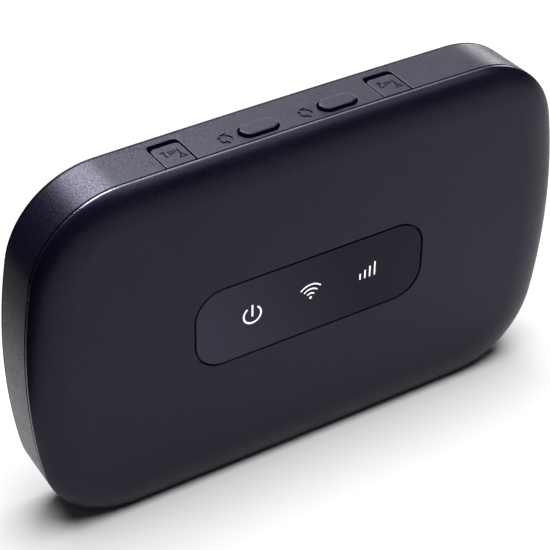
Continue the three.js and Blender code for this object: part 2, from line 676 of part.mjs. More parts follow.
function battery() {
  const half = BATTERY_WIDTH / 2;
  const capBottom = BATTERY_TOP - BATTERY_CAP;
  const section = roundedRectangle(-half, half, BATTERY_FRONT, BATTERY_REAR, BATTERY_CORNER, 4);
  addPart("battery_cell", "cell", alongZ(section, BATTERY_BOTTOM, capBottom - SEAT_GAP));
  addPart("battery_end_cap", "innerPlastic", alongZ(section, capBottom, BATTERY_TOP));
  for (const [index, x] of CONTACT_XS.entries()) {
    const reach = PAD_LENGTH / 2;
    const bottom = BATTERY_TOP + SEAT_GAP / 2;
    const pad = box(x - reach, x + reach, PAD_FRONT, PAD_REAR, bottom, BATTERY_TOP + CLEARANCE);
    addPart(`battery_pad_${index + 1}`, "gold", pad);
  }
}

// A folded strip antenna at one end of the board
function stripAntenna(name, x0, x1, z0, z1, turns) {
  const rear = BOARD_FRONT - STRIP_LIFT;
  let sheet = boxSolid(x0, x1, rear - STRIP_SHEET, rear, z0, z1);
  const pitch = (z1 - z0) / turns;
  for (let i = 1; i < turns; i += 1) {
    const z = z0 + i * pitch;
    const slotStart = i % 2 ? x0 - 1 : x0 + STRIP_BRIDGE;
    const slotEnd = i % 2 ? x1 - STRIP_BRIDGE : x1 + 1;
    const low = z - STRIP_SLOT / 2;
    sheet = sheet.subtract(boxSolid(slotStart, slotEnd, rear - 1, rear + 1, low, low + STRIP_SLOT));
  }
  addPart(name, "copper", geometryOf(sheet));
}

function caseScrews() {
  const seat = FLOOR_REAR + SEAT_GAP;
  const middle = seat + SCREW_HEAD_HEIGHT / 2;
  const thin = CROSS_WIDTH / 2;
  for (const [index, [x, z]] of screwPlaces().entries()) {
    const head = solid(cylinderY(x, z, SCREW_HEAD_RADIUS, seat, seat + SCREW_HEAD_HEIGHT));
    const shank = solid(cylinderY(x, z, SCREW_SHANK_RADIUS, SCREW_FRONT, middle, 12));
    const slotA = boxSolid(x - CROSS_REACH, x + CROSS_REACH, middle, seat + 2, z - thin, z + thin);
    const slotB = boxSolid(x - thin, x + thin, middle, seat + 2, z - CROSS_REACH, z + CROSS_REACH);
    const screw = head.add(shank).subtract(slotA).subtract(slotB);
    addPart(`case_screw_${index + 1}`, "steel", geometryOf(screw));
  }
}

// The lid over the back, with a rim that slides just inside the housing's wall
function backCover() {
  const front = Y_COVER_SEAM + SEAM_GAP / 2;
  const bevel = {
    bevelEnabled: true,
    bevelThickness: COVER_EDGE,
    bevelSize: COVER_EDGE,
    bevelOffset: -COVER_EDGE,
    bevelSegments: 3,
  };
  const lid = solid(taper(alongY(bodyOutline(), front, Y_REAR - COVER_EDGE, bevel)));
  const inFront = boxSolid(-WIDTH, WIDTH, Y_FRONT, front, -HEIGHT, 2 * HEIGHT);
  const inset = HOUSING_WALL + GAP;
  const plate = taperedSlab(inset, front - COVER_PLATE, front + SEAT_GAP);
  const rimInside = taperedSlab(inset + COVER_RIM_WALL, 0, Y_REAR);
  const rim = taperedSlab(inset, COVER_RIM_FRONT, front).subtract(rimInside);
  addPart("back_cover", "shell", geometryOf(lid.subtract(inFront).add(plate).add(rim)));
}

frontShell();
indicatorWindow();
indicatorLights();
rearHousing();
mainBoard();
for (const [name, limits] of Object.entries(SHIELDS)) {
  shieldCan(name, ...limits);
}
for (const [name, limits] of Object.entries(STRIPS)) {
  stripAntenna(name, ...limits);
}
for (const [number, x] of Object.entries(PORTS)) {
  antennaPort(number, x);
}
for (const [name, x] of Object.entries(BUTTONS)) {
  button(name, x);
}
usbReceptacle();
cardHolder("sim_holder", CARD_X, SIM_TOP);
cardHolder("memory_card_holder", -CARD_X, MEMORY_TOP);
batteryConnector();
battery();
caseScrews();
backCover();

export default group;
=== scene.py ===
import json
import math
from collections import namedtuple

import bmesh
import bpy
import numpy as np
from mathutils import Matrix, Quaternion, Vector, geometry

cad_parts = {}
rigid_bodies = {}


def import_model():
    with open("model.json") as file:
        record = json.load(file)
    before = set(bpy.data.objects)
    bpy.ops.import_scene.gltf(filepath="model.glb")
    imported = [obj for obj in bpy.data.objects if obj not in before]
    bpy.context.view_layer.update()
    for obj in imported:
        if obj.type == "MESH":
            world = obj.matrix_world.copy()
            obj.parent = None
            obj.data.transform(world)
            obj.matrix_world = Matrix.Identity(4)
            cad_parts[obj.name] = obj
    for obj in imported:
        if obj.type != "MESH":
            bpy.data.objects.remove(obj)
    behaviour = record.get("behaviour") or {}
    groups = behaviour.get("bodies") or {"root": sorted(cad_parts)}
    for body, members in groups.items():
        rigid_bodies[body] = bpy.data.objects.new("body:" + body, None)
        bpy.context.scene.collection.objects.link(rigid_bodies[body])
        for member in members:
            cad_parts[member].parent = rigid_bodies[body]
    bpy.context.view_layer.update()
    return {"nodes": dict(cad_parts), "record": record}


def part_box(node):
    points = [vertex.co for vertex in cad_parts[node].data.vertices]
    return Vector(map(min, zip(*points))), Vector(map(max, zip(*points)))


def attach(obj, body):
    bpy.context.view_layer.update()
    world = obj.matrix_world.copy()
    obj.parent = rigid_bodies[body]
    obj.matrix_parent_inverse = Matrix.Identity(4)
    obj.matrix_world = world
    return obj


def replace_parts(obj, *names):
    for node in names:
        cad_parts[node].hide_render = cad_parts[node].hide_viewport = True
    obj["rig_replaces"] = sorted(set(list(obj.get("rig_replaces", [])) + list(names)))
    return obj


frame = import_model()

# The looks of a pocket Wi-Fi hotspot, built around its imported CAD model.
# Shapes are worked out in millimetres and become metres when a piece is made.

MM = 0.001
Span = namedtuple("Span", "x0 x1 y0 y1 z0 z1")


def span(node):
    """A CAD node's extent in millimetres."""
    low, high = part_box(node)
    return Span(low.x / MM, high.x / MM, low.y / MM, high.y / MM, low.z / MM, high.z / MM)


# The body, from the frame
SHELL = span("front_shell")
HOUSING = span("rear_housing")
COVER = span("back_cover")
WINDOW = span("indicator_window")
WIDTH = SHELL.x1 - SHELL.x0
MIDDLE_Z = (SHELL.z0 + SHELL.z1) / 2
SEAM_GAP = 0.1
SEAM_Y = HOUSING.y0 - SEAM_GAP / 2
SHELL_REAR = HOUSING.y0 - SEAM_GAP
LID_FRONT = HOUSING.y1 + SEAM_GAP

# The body's outline: bowed edges and ends with round corners
HEIGHT = 66.7
CORNER_RADIUS = 16.9
SIDE_BOW = 5.34
EDGE_BOW = 0.44
REAR_DRAFT = 0.27
SIDE_STEPS = 14
CORNER_STEPS = 30
EDGE_STEPS = 20
QUARTER = SIDE_STEPS + CORNER_STEPS + EDGE_STEPS
ROLL_STEPS = 30

# Triangles thinner than this are left out of a drawing
SLIVER = 0.001

# Walls and edges
EDGE_ROUND = 0.16
ROUND_STEPS = 4
WALL_ROWS = 6
FACE_ROWS = 8
BACK_ROWS = 12
FRONT_WALL = 1.3
FRONT_EDGE_WIDTH = 7.35
HOUSING_WALL = 1.5
LID_ROUND = 0.6
LID_FIT = 0.15
LID_PLATE = 0.45
LID_RIM_WALL = 0.9
RIM_WIDTH = 0.32
RIM_DROP = 0.015
ROLL_START = math.radians(13)
GROOVE_DEPTH = 0.3
GROOVE_WIDTH = 0.14
GROOVE_ROUND = 0.1

# The indicator window and the pocket that holds it
WINDOW_CORNER = 5.3
WINDOW_ROUND = 0.12
POCKET_MARGIN = 0.36
POCKET_LIP = 0.12
POCKET_FLOOR = SHELL.y0 + 1.05
PAD_REAR = SHELL.y0 + 1.95
PAD_MARGIN = 2

# Openings in the housing's edges
ENGRAVING = 0.2
PORT_GAP = 0.2
PORT_REAR = 3.9
PORT_CORNER = 1.0
LEDGE_DEPTH = 1.1
LEDGE_REAR = -2.75
SLOT_GAP = 0.3
USB_GAP = 0.3
USB_CORNER = 0.8

# Buttons and flaps
BUTTON_FLANGE = 0.65
FLANGE_THICKNESS = 0.5
BUTTON_ROUND = 0.26
BUTTON_CROWN = 0.01
FLAP_NOSE = 0.2
FLAP_SUNK = 0.05
FLAP_CORNER = 0.9

# The floor between the board and the battery, and the battery's bay
FLOOR_FRONT = 0.6
FLOOR_REAR = 1.3
BAY_REAR = 4.6
BAY_MARGIN = 0.6
BAY_WALL = 1.0
FINGER_NOTCH = 7.0
FLOOR_OVERLAP = 0.2
OPENING_GAP = 0.3
CARD_GAP = 0.2
SCREW_BORE = 1.0

# Screws, battery, antenna wells and antenna jacks
SCREW_HEAD = 1.0
SCREW_SHANK = 0.8
CROSS = 1.05
BATTERY_CORNER = 1.2
WELL_WALL = 0.6
WELL_FRONT_WALL = 0.45
WELL_FIT = 0.02
WELL_BOTTOM = HOUSING.z1 - 6.9
JACK_BASE = 2
JACK_RADIUS = 1.85
JACK_BORE = 1.35

# Symbols on the window and rings on the top edge: places, sizes and line widths
ICON_Z = WINDOW.z0 + 8
POWER_X = -11.83
POWER_RADIUS = 1.7
POWER_WIDTH = 0.34
WIFI_X = -0.2
WIFI_DROP = 0.97
WIFI_WIDTH = 0.28
SIGNAL_X = 11.45
SIGNAL_DROP = 1.08
SIGNAL_WIDTH = 0.3
SYMBOL_PROUD = -0.015
SYMBOL_SUNK = 0.3
RING_RADIUS = 1.05
RING_WIDTH = 0.5
RING_OFFSET = 2.8

# Finish of the case
SHELL_COLOUR = (0.0020, 0.0018, 0.0072)
SHELL_TINT = (0.71, 0.70, 1.0)

# The camera, fitted to the view of the object
CAMERA_AZIMUTH = -32.2046
CAMERA_ELEVATION = 37.0816
CAMERA_ROLL = 0.8865
CAMERA_DISTANCE = 0.32398
CAMERA_TARGET = (-0.00568, -0.00338, 0.03805)
CAMERA_LENS = 125.32

# The floor's left, right, front and rear ends, in metres
FLOOR_ENDS = (-0.08, 0.35, -0.4, 0.17)

# Soft lights: azimuth, elevation, distance, width, height and radiance, and whether they light the floor
SOFTBOXES = (
    ("rear", (180, 47, 1.0, 0.5, 0.4, 25), False),
    ("side", (146, 42, 1.0, 0.3, 0.25, 4.5), False),
    ("low", (138, 8, 1.0, 0.93, 0.28, 5.5), False),
    ("front", (34, 57, 0.8, 0.4, 0.76, 3.4), False),
    ("overhead", (125, 86, 0.8, 0.7, 0.7, 7.8), True),
)


# Outlines


def bow_radius(half_chord, bow):
    """Radius of the shallow arc that bulges by bow over a half chord."""
    return (half_chord**2 + bow**2) / (2 * bow)


EDGE_RADIUS = bow_radius(WIDTH / 2, EDGE_BOW)
EDGE_CENTRE = HEIGHT / 2 - EDGE_RADIUS
SIDE_RADIUS = bow_radius(HEIGHT / 2, SIDE_BOW)
SIDE_CENTRE = WIDTH / 2 - SIDE_RADIUS


def corner_centre():
    """Centre of the corner arc that touches the edge's and the end's arcs from inside."""
    to_edge = EDGE_RADIUS - CORNER_RADIUS
    to_side = SIDE_RADIUS - CORNER_RADIUS
    between = np.array([SIDE_CENTRE, -EDGE_CENTRE])
    apart = np.linalg.norm(between)
    along = (to_edge**2 - to_side**2 + apart**2) / (2 * apart)
    across = math.sqrt(to_edge**2 - along**2)
    unit = between / apart
    return np.array([along * unit[0] + across * unit[1], EDGE_CENTRE + along * unit[1] - across * unit[0]])


def arc(centre, radius, start, end, steps, endpoint=True):
    """Points on an arc in a plane, angles in radians."""
    angles = np.linspace(start, end, steps + (1 if endpoint else 0), endpoint=endpoint)
    return np.column_stack([centre[0] + radius * np.cos(angles), centre[1] + radius * np.sin(angles)])


def mirrored(quarter):
    """A whole outline from its first quarter, which runs from the right to the top."""
    left = quarter[-2::-1] * (-1, 1)
    lower_left = quarter[1:] * (-1, -1)
    lower_right = quarter[-2:0:-1] * (1, -1)
    return np.vstack([quarter, left, lower_left, lower_right])


def body_quarter(inset):
    corner = corner_centre()
    side_angle = math.atan2(corner[1], corner[0] - SIDE_CENTRE)
    edge_angle = math.atan2(corner[1] - EDGE_CENTRE, corner[0])
    return np.vstack([
        arc((SIDE_CENTRE, 0), SIDE_RADIUS - inset, 0, side_angle, SIDE_STEPS, endpoint=False),
        arc(corner, CORNER_RADIUS - inset, side_angle, edge_angle, CORNER_STEPS, endpoint=False),
        arc((0, EDGE_CENTRE), EDGE_RADIUS - inset, edge_angle, math.pi / 2, EDGE_STEPS),
    ])


def draft(y):
    """How much the body has narrowed at depth y behind the seam, as factors for x and z."""
    share = max(y - SEAM_Y, 0) / (COVER.y1 - SEAM_Y)
    return 1 - share * REAR_DRAFT / (WIDTH / 2), 1 - share * REAR_DRAFT / HEIGHT


def body_ring(inset, y):
    """The body's outline at depth y, moved inwards by inset. It stands flat on z = 0."""
    flat = mirrored(body_quarter(inset))
    kx, kz = draft(y)
    z = np.maximum((flat[:, 1] + MIDDLE_Z) * kz, 0)
    return np.column_stack([flat[:, 0] * kx, np.full(len(flat), y), z])


def edge_point(side, x, y, depth):
    """A point at a depth under the housing's top edge (side 1) or bottom edge (side -1)."""
    kx, kz = draft(y)
    sine = x / kx / EDGE_RADIUS
    radius = EDGE_RADIUS - depth
    height = EDGE_CENTRE + radius * math.sqrt(1 - sine**2)
    return radius * sine * kx, y, max((side * height + MIDDLE_Z) * kz, 0)


def rounded_box(centre, half_x, half_y, radius, steps=(SIDE_STEPS, CORNER_STEPS, EDGE_STEPS)):
    """A rounded rectangle with as many points as the body's outline, or with its own steps."""
    side, corner, edge = steps
    quarter = np.vstack([
        np.column_stack([np.full(side, half_x), np.linspace(0, half_y - radius, side, endpoint=False)]),
        arc((half_x - radius, half_y - radius), radius, 0, math.pi / 2, corner, endpoint=False),
        np.column_stack([np.linspace(half_x - radius, 0, edge + 1), np.full(edge + 1, half_y)]),
    ])
    return mirrored(quarter) + np.array(centre)


def window_ring(margin, y):
    """The indicator window's outline, moved outwards by margin."""
    half_x = (WINDOW.x1 - WINDOW.x0) / 2 + margin
    half_z = (WINDOW.z1 - WINDOW.z0) / 2 + margin
    flat = rounded_box((0, (WINDOW.z0 + WINDOW.z1) / 2), half_x, half_z, WINDOW_CORNER + margin)
    return np.column_stack([flat[:, 0], np.full(len(flat), y), flat[:, 1]])


def level_ring(part, margin, radius, z, steps):
    """A rounded rectangle at height z, larger than a part by a margin in x and y."""
    centre = ((part.x0 + part.x1) / 2, (part.y0 + part.y1) / 2)
    half_x = (part.x1 - part.x0) / 2 + margin
    half_y = (part.y1 - part.y0) / 2 + margin
    flat = rounded_box(centre, half_x, half_y, radius, steps)
    return np.column_stack([flat, np.full(len(flat), z)])


class Opening:
    """A rounded rectangle cut into a long edge of the housing, in x and y."""

    def __init__(self, x0, x1, y0, y1, radius):
        self.centre = np.array([(x0 + x1) / 2, (y0 + y1) / 2])
        self.half = np.array([(x1 - x0) / 2, (y1 - y0) / 2])
        self.radius = radius

    def distance(self, points):
        """How far points are outside the opening, negative inside."""
        reach = np.abs(np.asarray(points) - self.centre) - (self.half - self.radius)
        outside = np.linalg.norm(np.maximum(reach, 0), axis=-1)
        return outside + np.minimum(reach.max(axis=-1), 0) - self.radius

    def outline(self, margin=0.0):
        half_x, half_y = self.half + margin
        return rounded_box(self.centre, half_x, half_y, self.radius + margin, (1, 8, 1))


def stroke(points, width):
    """The closed outline of a line of some width through the points."""
    points = np.asarray(points, float)
    steps = np.gradient(points, axis=0)
    steps /= np.linalg.norm(steps, axis=1)[:, None]
    side = np.column_stack([-steps[:, 1], steps[:, 0]]) * width / 2
    return np.vstack([points + side, (points - side)[::-1]])


def inside(points, loop):
    """Which points lie inside a closed loop."""
    x, y = points[:, 0], points[:, 1]
    found = np.zeros(len(points), bool)
    for (x0, y0), (x1, y1) in zip(loop, np.roll(loop, -1, axis=0)):
        crosses = (y0 > y) != (y1 > y)
        if y0 != y1:
            found ^= crosses & (x < (x1 - x0) * (y - y0) / (y1 - y0) + x0)
    return found


def inside_any(points, loops):
    found = np.zeros(len(points), bool)
    for loop in loops:
        found |= inside(points, loop)
    return found


def triangulate(loops, lines=()):
    """Triangles over closed loops and open lines in a plane, with every one of them as edges."""
    coords, edges = [], []
    for path, closed in [(loop, True) for loop in loops] + [(line, False) for line in lines]:
        start = len(coords)
        coords.extend(Vector(point) for point in path)
        count = len(path)
        edges.extend((start + i, start + (i + 1) % count) for i in range(count if closed else count - 1))
    points, _, triangles, *_ = geometry.delaunay_2d_cdt(coords, edges, [], 0, 1e-5)
    return np.array([tuple(p) for p in points]), np.array(triangles)


def thinness(triangles):
    """The height of each triangle over its longest side."""
    sides = triangles - np.roll(triangles, 1, axis=1)
    twice_area = np.abs(sides[:, 0, 0] * sides[:, 1, 1] - sides[:, 0, 1] * sides[:, 1, 0])
    return twice_area / np.linalg.norm(sides, axis=2).max(axis=1)


# Surfaces


class Surface:
    """Points in millimetres and faces, gathered and then made into one piece."""

    def __init__(self):
        self.points = []
        self.faces = []
        self.kinds = []

    def add(self, points):
        start = len(self.points)
        self.points.extend(tuple(float(v) for v in point) for point in points)
        return list(range(start, len(self.points)))

    def face(self, corners, kind=0):
        distinct = [c for i, c in enumerate(corners) if c != corners[i - 1]]
        if len(distinct) > 2:
            self.faces.append(distinct)
            self.kinds.append(kind)

    def bridge(self, first, second, skip=frozenset(), kind=0):
        count = len(first)
        for i in range(count):
            if i not in skip:
                j = (i + 1) % count
                self.face((first[i], first[j], second[j], second[i]), kind)

    def skin(self, rings, closed=False, capped=False, polished=None):
        """Faces between neighbouring rings, joined into a loop or capped. One strip can be polished."""
        indices = [self.add(ring) for ring in rings]
        for number, (first, second) in enumerate(zip(indices, indices[1:])):
            self.bridge(first, second, kind=int(number == polished))
        if closed:
            self.bridge(indices[-1], indices[0])
        if capped:
            self.face(indices[0][::-1])
            self.face(indices[-1])

    def columns(self, drawing, kinds_at, tops, base, place, levels=(), shared=None):
        """Columns over a drawing's triangles, fused into one skin.

        kinds_at gives each triangle's kind, 0 where it is open; tops holds each kind's top
        depth and its material; base is the depth of the columns' lower end. A depth is a number
        or a function of the point. Walls get an extra row of points at each of the levels that
        they cross, and there is no wall on the drawing's outer edges that shared says belong to
        a neighbouring surface too.
        """
        points, triangles = drawing
        kinds = kinds_at(points[triangles].mean(axis=1)) * (thinness(points[triangles]) > SLIVER)
        made = {}

        def corner(index, depth):
            key = (index, round(depth, 5))
            if key not in made:
                made[key] = self.add([place(*points[index], depth)])[0]
            return made[key]

        def at(depth, index):
            return depth(*points[index]) if callable(depth) else depth

        def top(kind, index):
            return at(tops[kind][0], index)

        def wall(a, b, upper, lower):
            between = [v for v in levels if max(upper) + 1e-4 < v < min(lower) - 1e-4]
            rows = [upper, *[(v, v) for v in between], lower]
            for (a0, b0), (a1, b1) in zip(rows, rows[1:]):
                self.face((corner(a, a0), corner(b, b0), corner(b, b1), corner(a, a1)))

        touching = {}
        for number, triangle in enumerate(triangles):
            for a, b in zip(triangle, np.roll(triangle, -1)):
                touching.setdefault((min(a, b), max(a, b)), []).append(number)
            kind = kinds[number]
            if kind:
                self.face([corner(i, top(kind, i)) for i in triangle], tops[kind][1])
                self.face([corner(i, at(base, i)) for i in triangle[::-1]])
        for (a, b), numbers in touching.items():
            present = sorted({kinds[n] for n in numbers if kinds[n]}, key=lambda k: top(k, a) + top(k, b))
            if len(present) == 2:
                wall(a, b, *[(top(k, a), top(k, b)) for k in present])
            elif len(present) == 1 and (len(numbers) == 1 or not all(kinds[n] for n in numbers)):
                if shared is None or not shared(points[a], points[b]):
                    kind = present[0]
                    wall(a, b, (top(kind, a), top(kind, b)), (at(base, a), at(base, b)))

    def piece(self, name, body, materials, replaced=(), sharp=35):
        """The finished mesh object, riding on its body."""
        mesh = bpy.data.meshes.new(name)
        mesh.from_pydata([Vector(p) * MM for p in self.points], [], self.faces)
        mesh.polygons.foreach_set("material_index", self.kinds)
        mesh.polygons.foreach_set("use_smooth", [True] * len(mesh.polygons))
        work = bmesh.new()
        work.from_mesh(mesh)
        bmesh.ops.remove_doubles(work, verts=work.verts, dist=2e-4 * MM)
        unused = [vertex for vertex in work.verts if not vertex.link_faces]
        bmesh.ops.delete(work, geom=unused, context="VERTS")
        bmesh.ops.recalc_face_normals(work, faces=work.faces)
        work.to_mesh(mesh)
        work.free()
        mesh.set_sharp_from_angle(angle=math.radians(sharp))
        for material in materials:
            mesh.materials.append(material)
        made = added(name, mesh)
        made.modifiers.new("weighted_normals", "WEIGHTED_NORMAL").keep_sharp = True
        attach(made, body)
        if replaced:
            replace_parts(made, *replaced)
        return made


def fillet(radius, steps=ROUND_STEPS):
    """A rounded edge as steps of its distances from the two faces that it joins."""
    angles = np.linspace(0, math.pi / 2, steps + 1)
    return [(radius * (1 - math.cos(a)), radius * (1 - math.sin(a))) for a in angles]


def rounding(distance, radius=EDGE_ROUND):
    """How far a rounded edge has dropped at a distance from the edge."""
    gap = min(max(radius - distance, 0), radius)
    return radius - math.sqrt(radius**2 - gap**2)


# Materials


class Shader:
    """A Principled material whose node graph is built up in steps."""

    def __init__(self, name, roughness, metallic=0.0, level=0.5, tint=(1, 1, 1)):
        self.material = bpy.data.materials.new(name)
        self.material.use_nodes = True
        self.tree = self.material.node_tree
        self.shader = self.tree.nodes["Principled BSDF"]
        self.feed(self.shader, {
            "Metallic": metallic, "Roughness": roughness, "Specular IOR Level": level, "Specular Tint": tint,
        })
        self.place = self.node("TexCoord").outputs["Object"]

    def node(self, kind, inputs=None, **settings):
        """A new node with its settings and inputs."""
        made = self.tree.nodes.new(f"ShaderNode{kind}")
        for key, value in settings.items():
            setattr(made, key, value)
        self.feed(made, inputs or {})
        return made

    def feed(self, node, inputs):
        """Links or values for a node's inputs. Colours get their alpha here."""
        for name, value in inputs.items():
            socket = node.inputs[name]
            if isinstance(value, bpy.types.NodeSocket):
                self.tree.links.new(value, socket)
            elif isinstance(value, tuple):
                socket.default_value = (*value, 1)[:len(socket.default_value)]
            else:
                socket.default_value = value

    def texture(self, kind, size, inputs=None, **settings):
        """A texture with a pattern about size millimetres across."""
        inputs = {"Vector": self.place, "Scale": 1 / (size * MM), **(inputs or {})}
        return self.node(f"Tex{kind}", inputs, **settings).outputs

    def noise(self, size, detail=2.0, stretch=(1, 1, 1)):
        """Noise whose blobs are about size millimetres across."""
        mapping = self.node("Mapping", {"Vector": self.place, "Scale": stretch})
        return self.texture("Noise", size, {"Vector": mapping.outputs["Vector"], "Detail": detail})["Fac"]

    def axes(self):
        """The object's own coordinates, one by one."""
        return self.node("SeparateXYZ", {"Vector": self.place}).outputs

    def spread(self, value, low, high, to_low=0.0, to_high=1.0):
        """A value stretched from one range to another."""
        return self.node("MapRange", {
            "Value": value, "From Min": low, "From Max": high, "To Min": to_low, "To Max": to_high,
        }).outputs["Result"]

    def cloud(self, size, to_low=0.0, to_high=1.0, detail=2.0):
        """Noise stretched to a range."""
        return self.spread(self.noise(size, detail), 0.3, 0.7, to_low, to_high)

    def math(self, operation, a, b=0.0):
        return self.node("Math", {0: a, 1: b}, operation=operation).outputs[0]

    def mix(self, factor, a, b):
        inputs = {"Factor": factor, "A": a, "B": b}
        return self.node("Mix", inputs, data_type="RGBA").outputs["Result"]

    def edges(self, low=0.505, high=0.56):
        """1 on sharp outer edges, 0 elsewhere."""
        return self.spread(self.node("NewGeometry").outputs["Pointiness"], low, high)

    def colour(self, value):
        self.feed(self.shader, {"Base Color": value})

    def roughness(self, value):
        self.feed(self.shader, {"Roughness": value})

    def bump(self, height, distance, strength):
        """A bump of some height in millimetres."""
        inputs = {"Strength": strength, "Distance": distance * MM, "Height": height}
        self.feed(self.shader, {"Normal": self.node("Bump", inputs).outputs["Normal"]})


def shade(colour, factor):
    return tuple(c * factor for c in colour)


def moulded(name, colour, roughness, level, grain, tint=(1, 1, 1), wear=0.35):
    """Moulded plastic: a fine spark texture, slight mottling, and edges polished by handling."""
    made = Shader(name, roughness, level=level, tint=tint)
    handled = made.math("MULTIPLY", made.edges(), made.cloud(2.2, wear * 0.4, wear))
    base = made.mix(made.cloud(7, detail=4), shade(colour, 0.9), shade(colour, 1.12))
    made.colour(made.mix(handled, base, shade(colour, 3.0)))
    smear = made.cloud(11, roughness - 0.025, roughness + 0.025, detail=5)
    pits = made.noise(grain, detail=1.5)
    satin = made.math("ADD", smear, made.spread(pits, 0.35, 0.65, -0.08, 0.08))
    made.roughness(made.math("SUBTRACT", satin, made.math("MULTIPLY", handled, 0.12)))
    made.bump(pits, 0.022, 0.7)
    return made.material


shell_plastic, flap_plastic = [
    moulded(name, SHELL_COLOUR, 0.37, 0.25, 0.32, SHELL_TINT) for name in ("shell_plastic", "flap_plastic")
]
rim_plastic = moulded("rim_plastic", SHELL_COLOUR, 0.3, 0.8, 0.28, SHELL_TINT)
# Painted shade: a darker, duller copy of the shell plastic for the floors of the flaps' engraved symbols.
engraving_painted_shade = moulded("engraving_painted_shade", (0.001, 0.001, 0.002), 0.7, 0.1, 0.28, SHELL_TINT, wear=0)


def window_with_painted_glow():
    """Satin smoked plastic with a painted glow: paler at the lower left, darker towards the upper right."""
    made = Shader("window_plastic", 0.25, level=0.13, tint=SHELL_TINT)
    axes = made.axes()
    # Painted light: depth and tint carry a glow painted pale at the lower left that fades to dark towards the
    # upper right; it stands in for lighting, not a deeper dye.
    along = made.math("ADD", axes["X"], made.math("MULTIPLY", axes["Z"], 0.4))
    depth = made.spread(along, -16 * MM, 22 * MM)
    tint = made.mix(depth, (0.040, 0.038, 0.060), (0.002, 0.002, 0.008))
    mottle = made.math("MULTIPLY", made.cloud(6, detail=4), 0.05)
    made.colour(made.mix(mottle, tint, (0.010, 0.010, 0.014)))
    made.roughness(made.cloud(9, 0.23, 0.28, detail=5))
    made.bump(made.noise(0.6, detail=1.5), 0.008, 0.5)
    return made.material


window_plastic = window_with_painted_glow()


def printed_white():
    """Translucent white plastic that shows through the window as crisp symbols."""
    made = Shader("symbol_white", 0.45)
    made.colour(made.mix(made.spread(made.noise(1.4), 0.35, 0.65), (0.86, 0.87, 0.88), (0.95, 0.95, 0.95)))
    made.feed(made.shader, {"Emission Color": (1, 1, 1), "Emission Strength": 0.5})
    made.bump(made.noise(0.2), 0.004, 0.4)
    return made.material


symbol_white = printed_white()


def foam(name, colour):
    """Closed-cell foam: round cells in a dull surface, with painted shade in the cells' hollows."""
    made = Shader(name, 0.95, level=0.2)
    depth = made.texture("Voronoi", 0.35)["Distance"]
    # Painted shade and highlight: the colour follows the bump, darker in the cells' hollows and lighter on
    # their rims.
    made.colour(made.mix(made.spread(depth, 0.1, 0.7), shade(colour, 0.5), shade(colour, 1.6)))
    made.bump(depth, 0.06, 0.8)
    return made.material


def milky(name):
    """Translucent white plastic: light guides and lamps."""
    made = Shader(name, 0.35)
    haze = made.spread(made.noise(1.6, detail=3), 0.35, 0.65)
    made.colour(made.mix(haze, (0.80, 0.81, 0.79), (0.90, 0.90, 0.87)))
    made.roughness(made.cloud(0.8, 0.3, 0.42))
    made.bump(made.noise(0.25), 0.006, 0.5)
    return made.material


def metal(name, colour, roughness, stretch=(1, 1, 1), stain=0.75):
    """Sheet or turned metal: fine drawn lines, soft stains and bright worn edges."""
    made = Shader(name, roughness, metallic=1.0)
    stains = made.spread(made.noise(3.5, detail=6), 0.35, 0.7)
    base = made.mix(stains, shade(colour, stain), colour)
    worn = made.math("MULTIPLY", made.edges(), 0.6)
    made.colour(made.mix(worn, base, tuple(min(c * 1.25, 1.0) for c in colour)))
    lines = made.noise(0.12, detail=3, stretch=stretch)
    made.roughness(made.spread(made.math("ADD", lines, stains), 0.5, 1.6, roughness * 1.3, roughness * 0.8))
    made.bump(lines, 0.004, 0.4)
    return made.material


def solder_mask():
    """Green mask over copper tracks, with plated holes."""
    made = Shader("solder_mask", 0.35)
    tracks = []
    for direction, size in (("X", 14), ("Z", 16)):
        wave = made.texture("Wave", size, {"Distortion": 0}, bands_direction=direction)["Fac"]
        tracks.append(made.spread(wave, 0.62, 0.7))
    blocks = made.texture("Voronoi", 6, distance="CHEBYCHEV")["Color"]
    pattern = made.mix(made.spread(blocks, 0.45, 0.5), *tracks)
    plated = made.spread(made.texture("Voronoi", 1.9)["Distance"], 0.16, 0.12)
    mask = made.mix(pattern, (0.006, 0.045, 0.022), (0.012, 0.085, 0.040))
    made.colour(made.mix(plated, mask, (0.55, 0.40, 0.16)))
    made.roughness(made.cloud(2, 0.28, 0.42))
    made.bump(made.math("MAXIMUM", pattern, plated), 0.03, 0.6)
    return made.material


def printed_sleeve():
    """A dark satin sleeve with a paler printed panel inside a thin border."""
    made = Shader("battery_wrap", 0.42)
    axes = made.axes()
    cell = span("battery_cell")
    across = made.math("ABSOLUTE", axes["X"])
    up = made.math("ABSOLUTE", made.math("SUBTRACT", axes["Z"], (cell.z0 + cell.z1) / 2 * MM))
    past_side = made.math("SUBTRACT", across, (cell.x1 - 5) * MM)
    past_end = made.math("SUBTRACT", up, ((cell.z1 - cell.z0) / 2 - 5) * MM)
    edge = made.math("MAXIMUM", past_side, past_end)
    panel = made.spread(edge, 0.05 * MM, -0.05 * MM)
    near_line = made.math("ABSOLUTE", made.math("SUBTRACT", edge, 0.9 * MM))
    border = made.spread(near_line, 0.2 * MM, 0.12 * MM)
    sleeve = made.mix(made.cloud(4, detail=5), (0.016, 0.017, 0.020), (0.024, 0.025, 0.030))
    printed = made.mix(panel, sleeve, (0.085, 0.09, 0.10))
    made.colour(made.mix(border, printed, (0.35, 0.36, 0.38)))
    made.roughness(made.cloud(6, 0.36, 0.5, detail=5))
    made.bump(made.noise(0.3, detail=2), 0.008, 0.5)
    return made.material


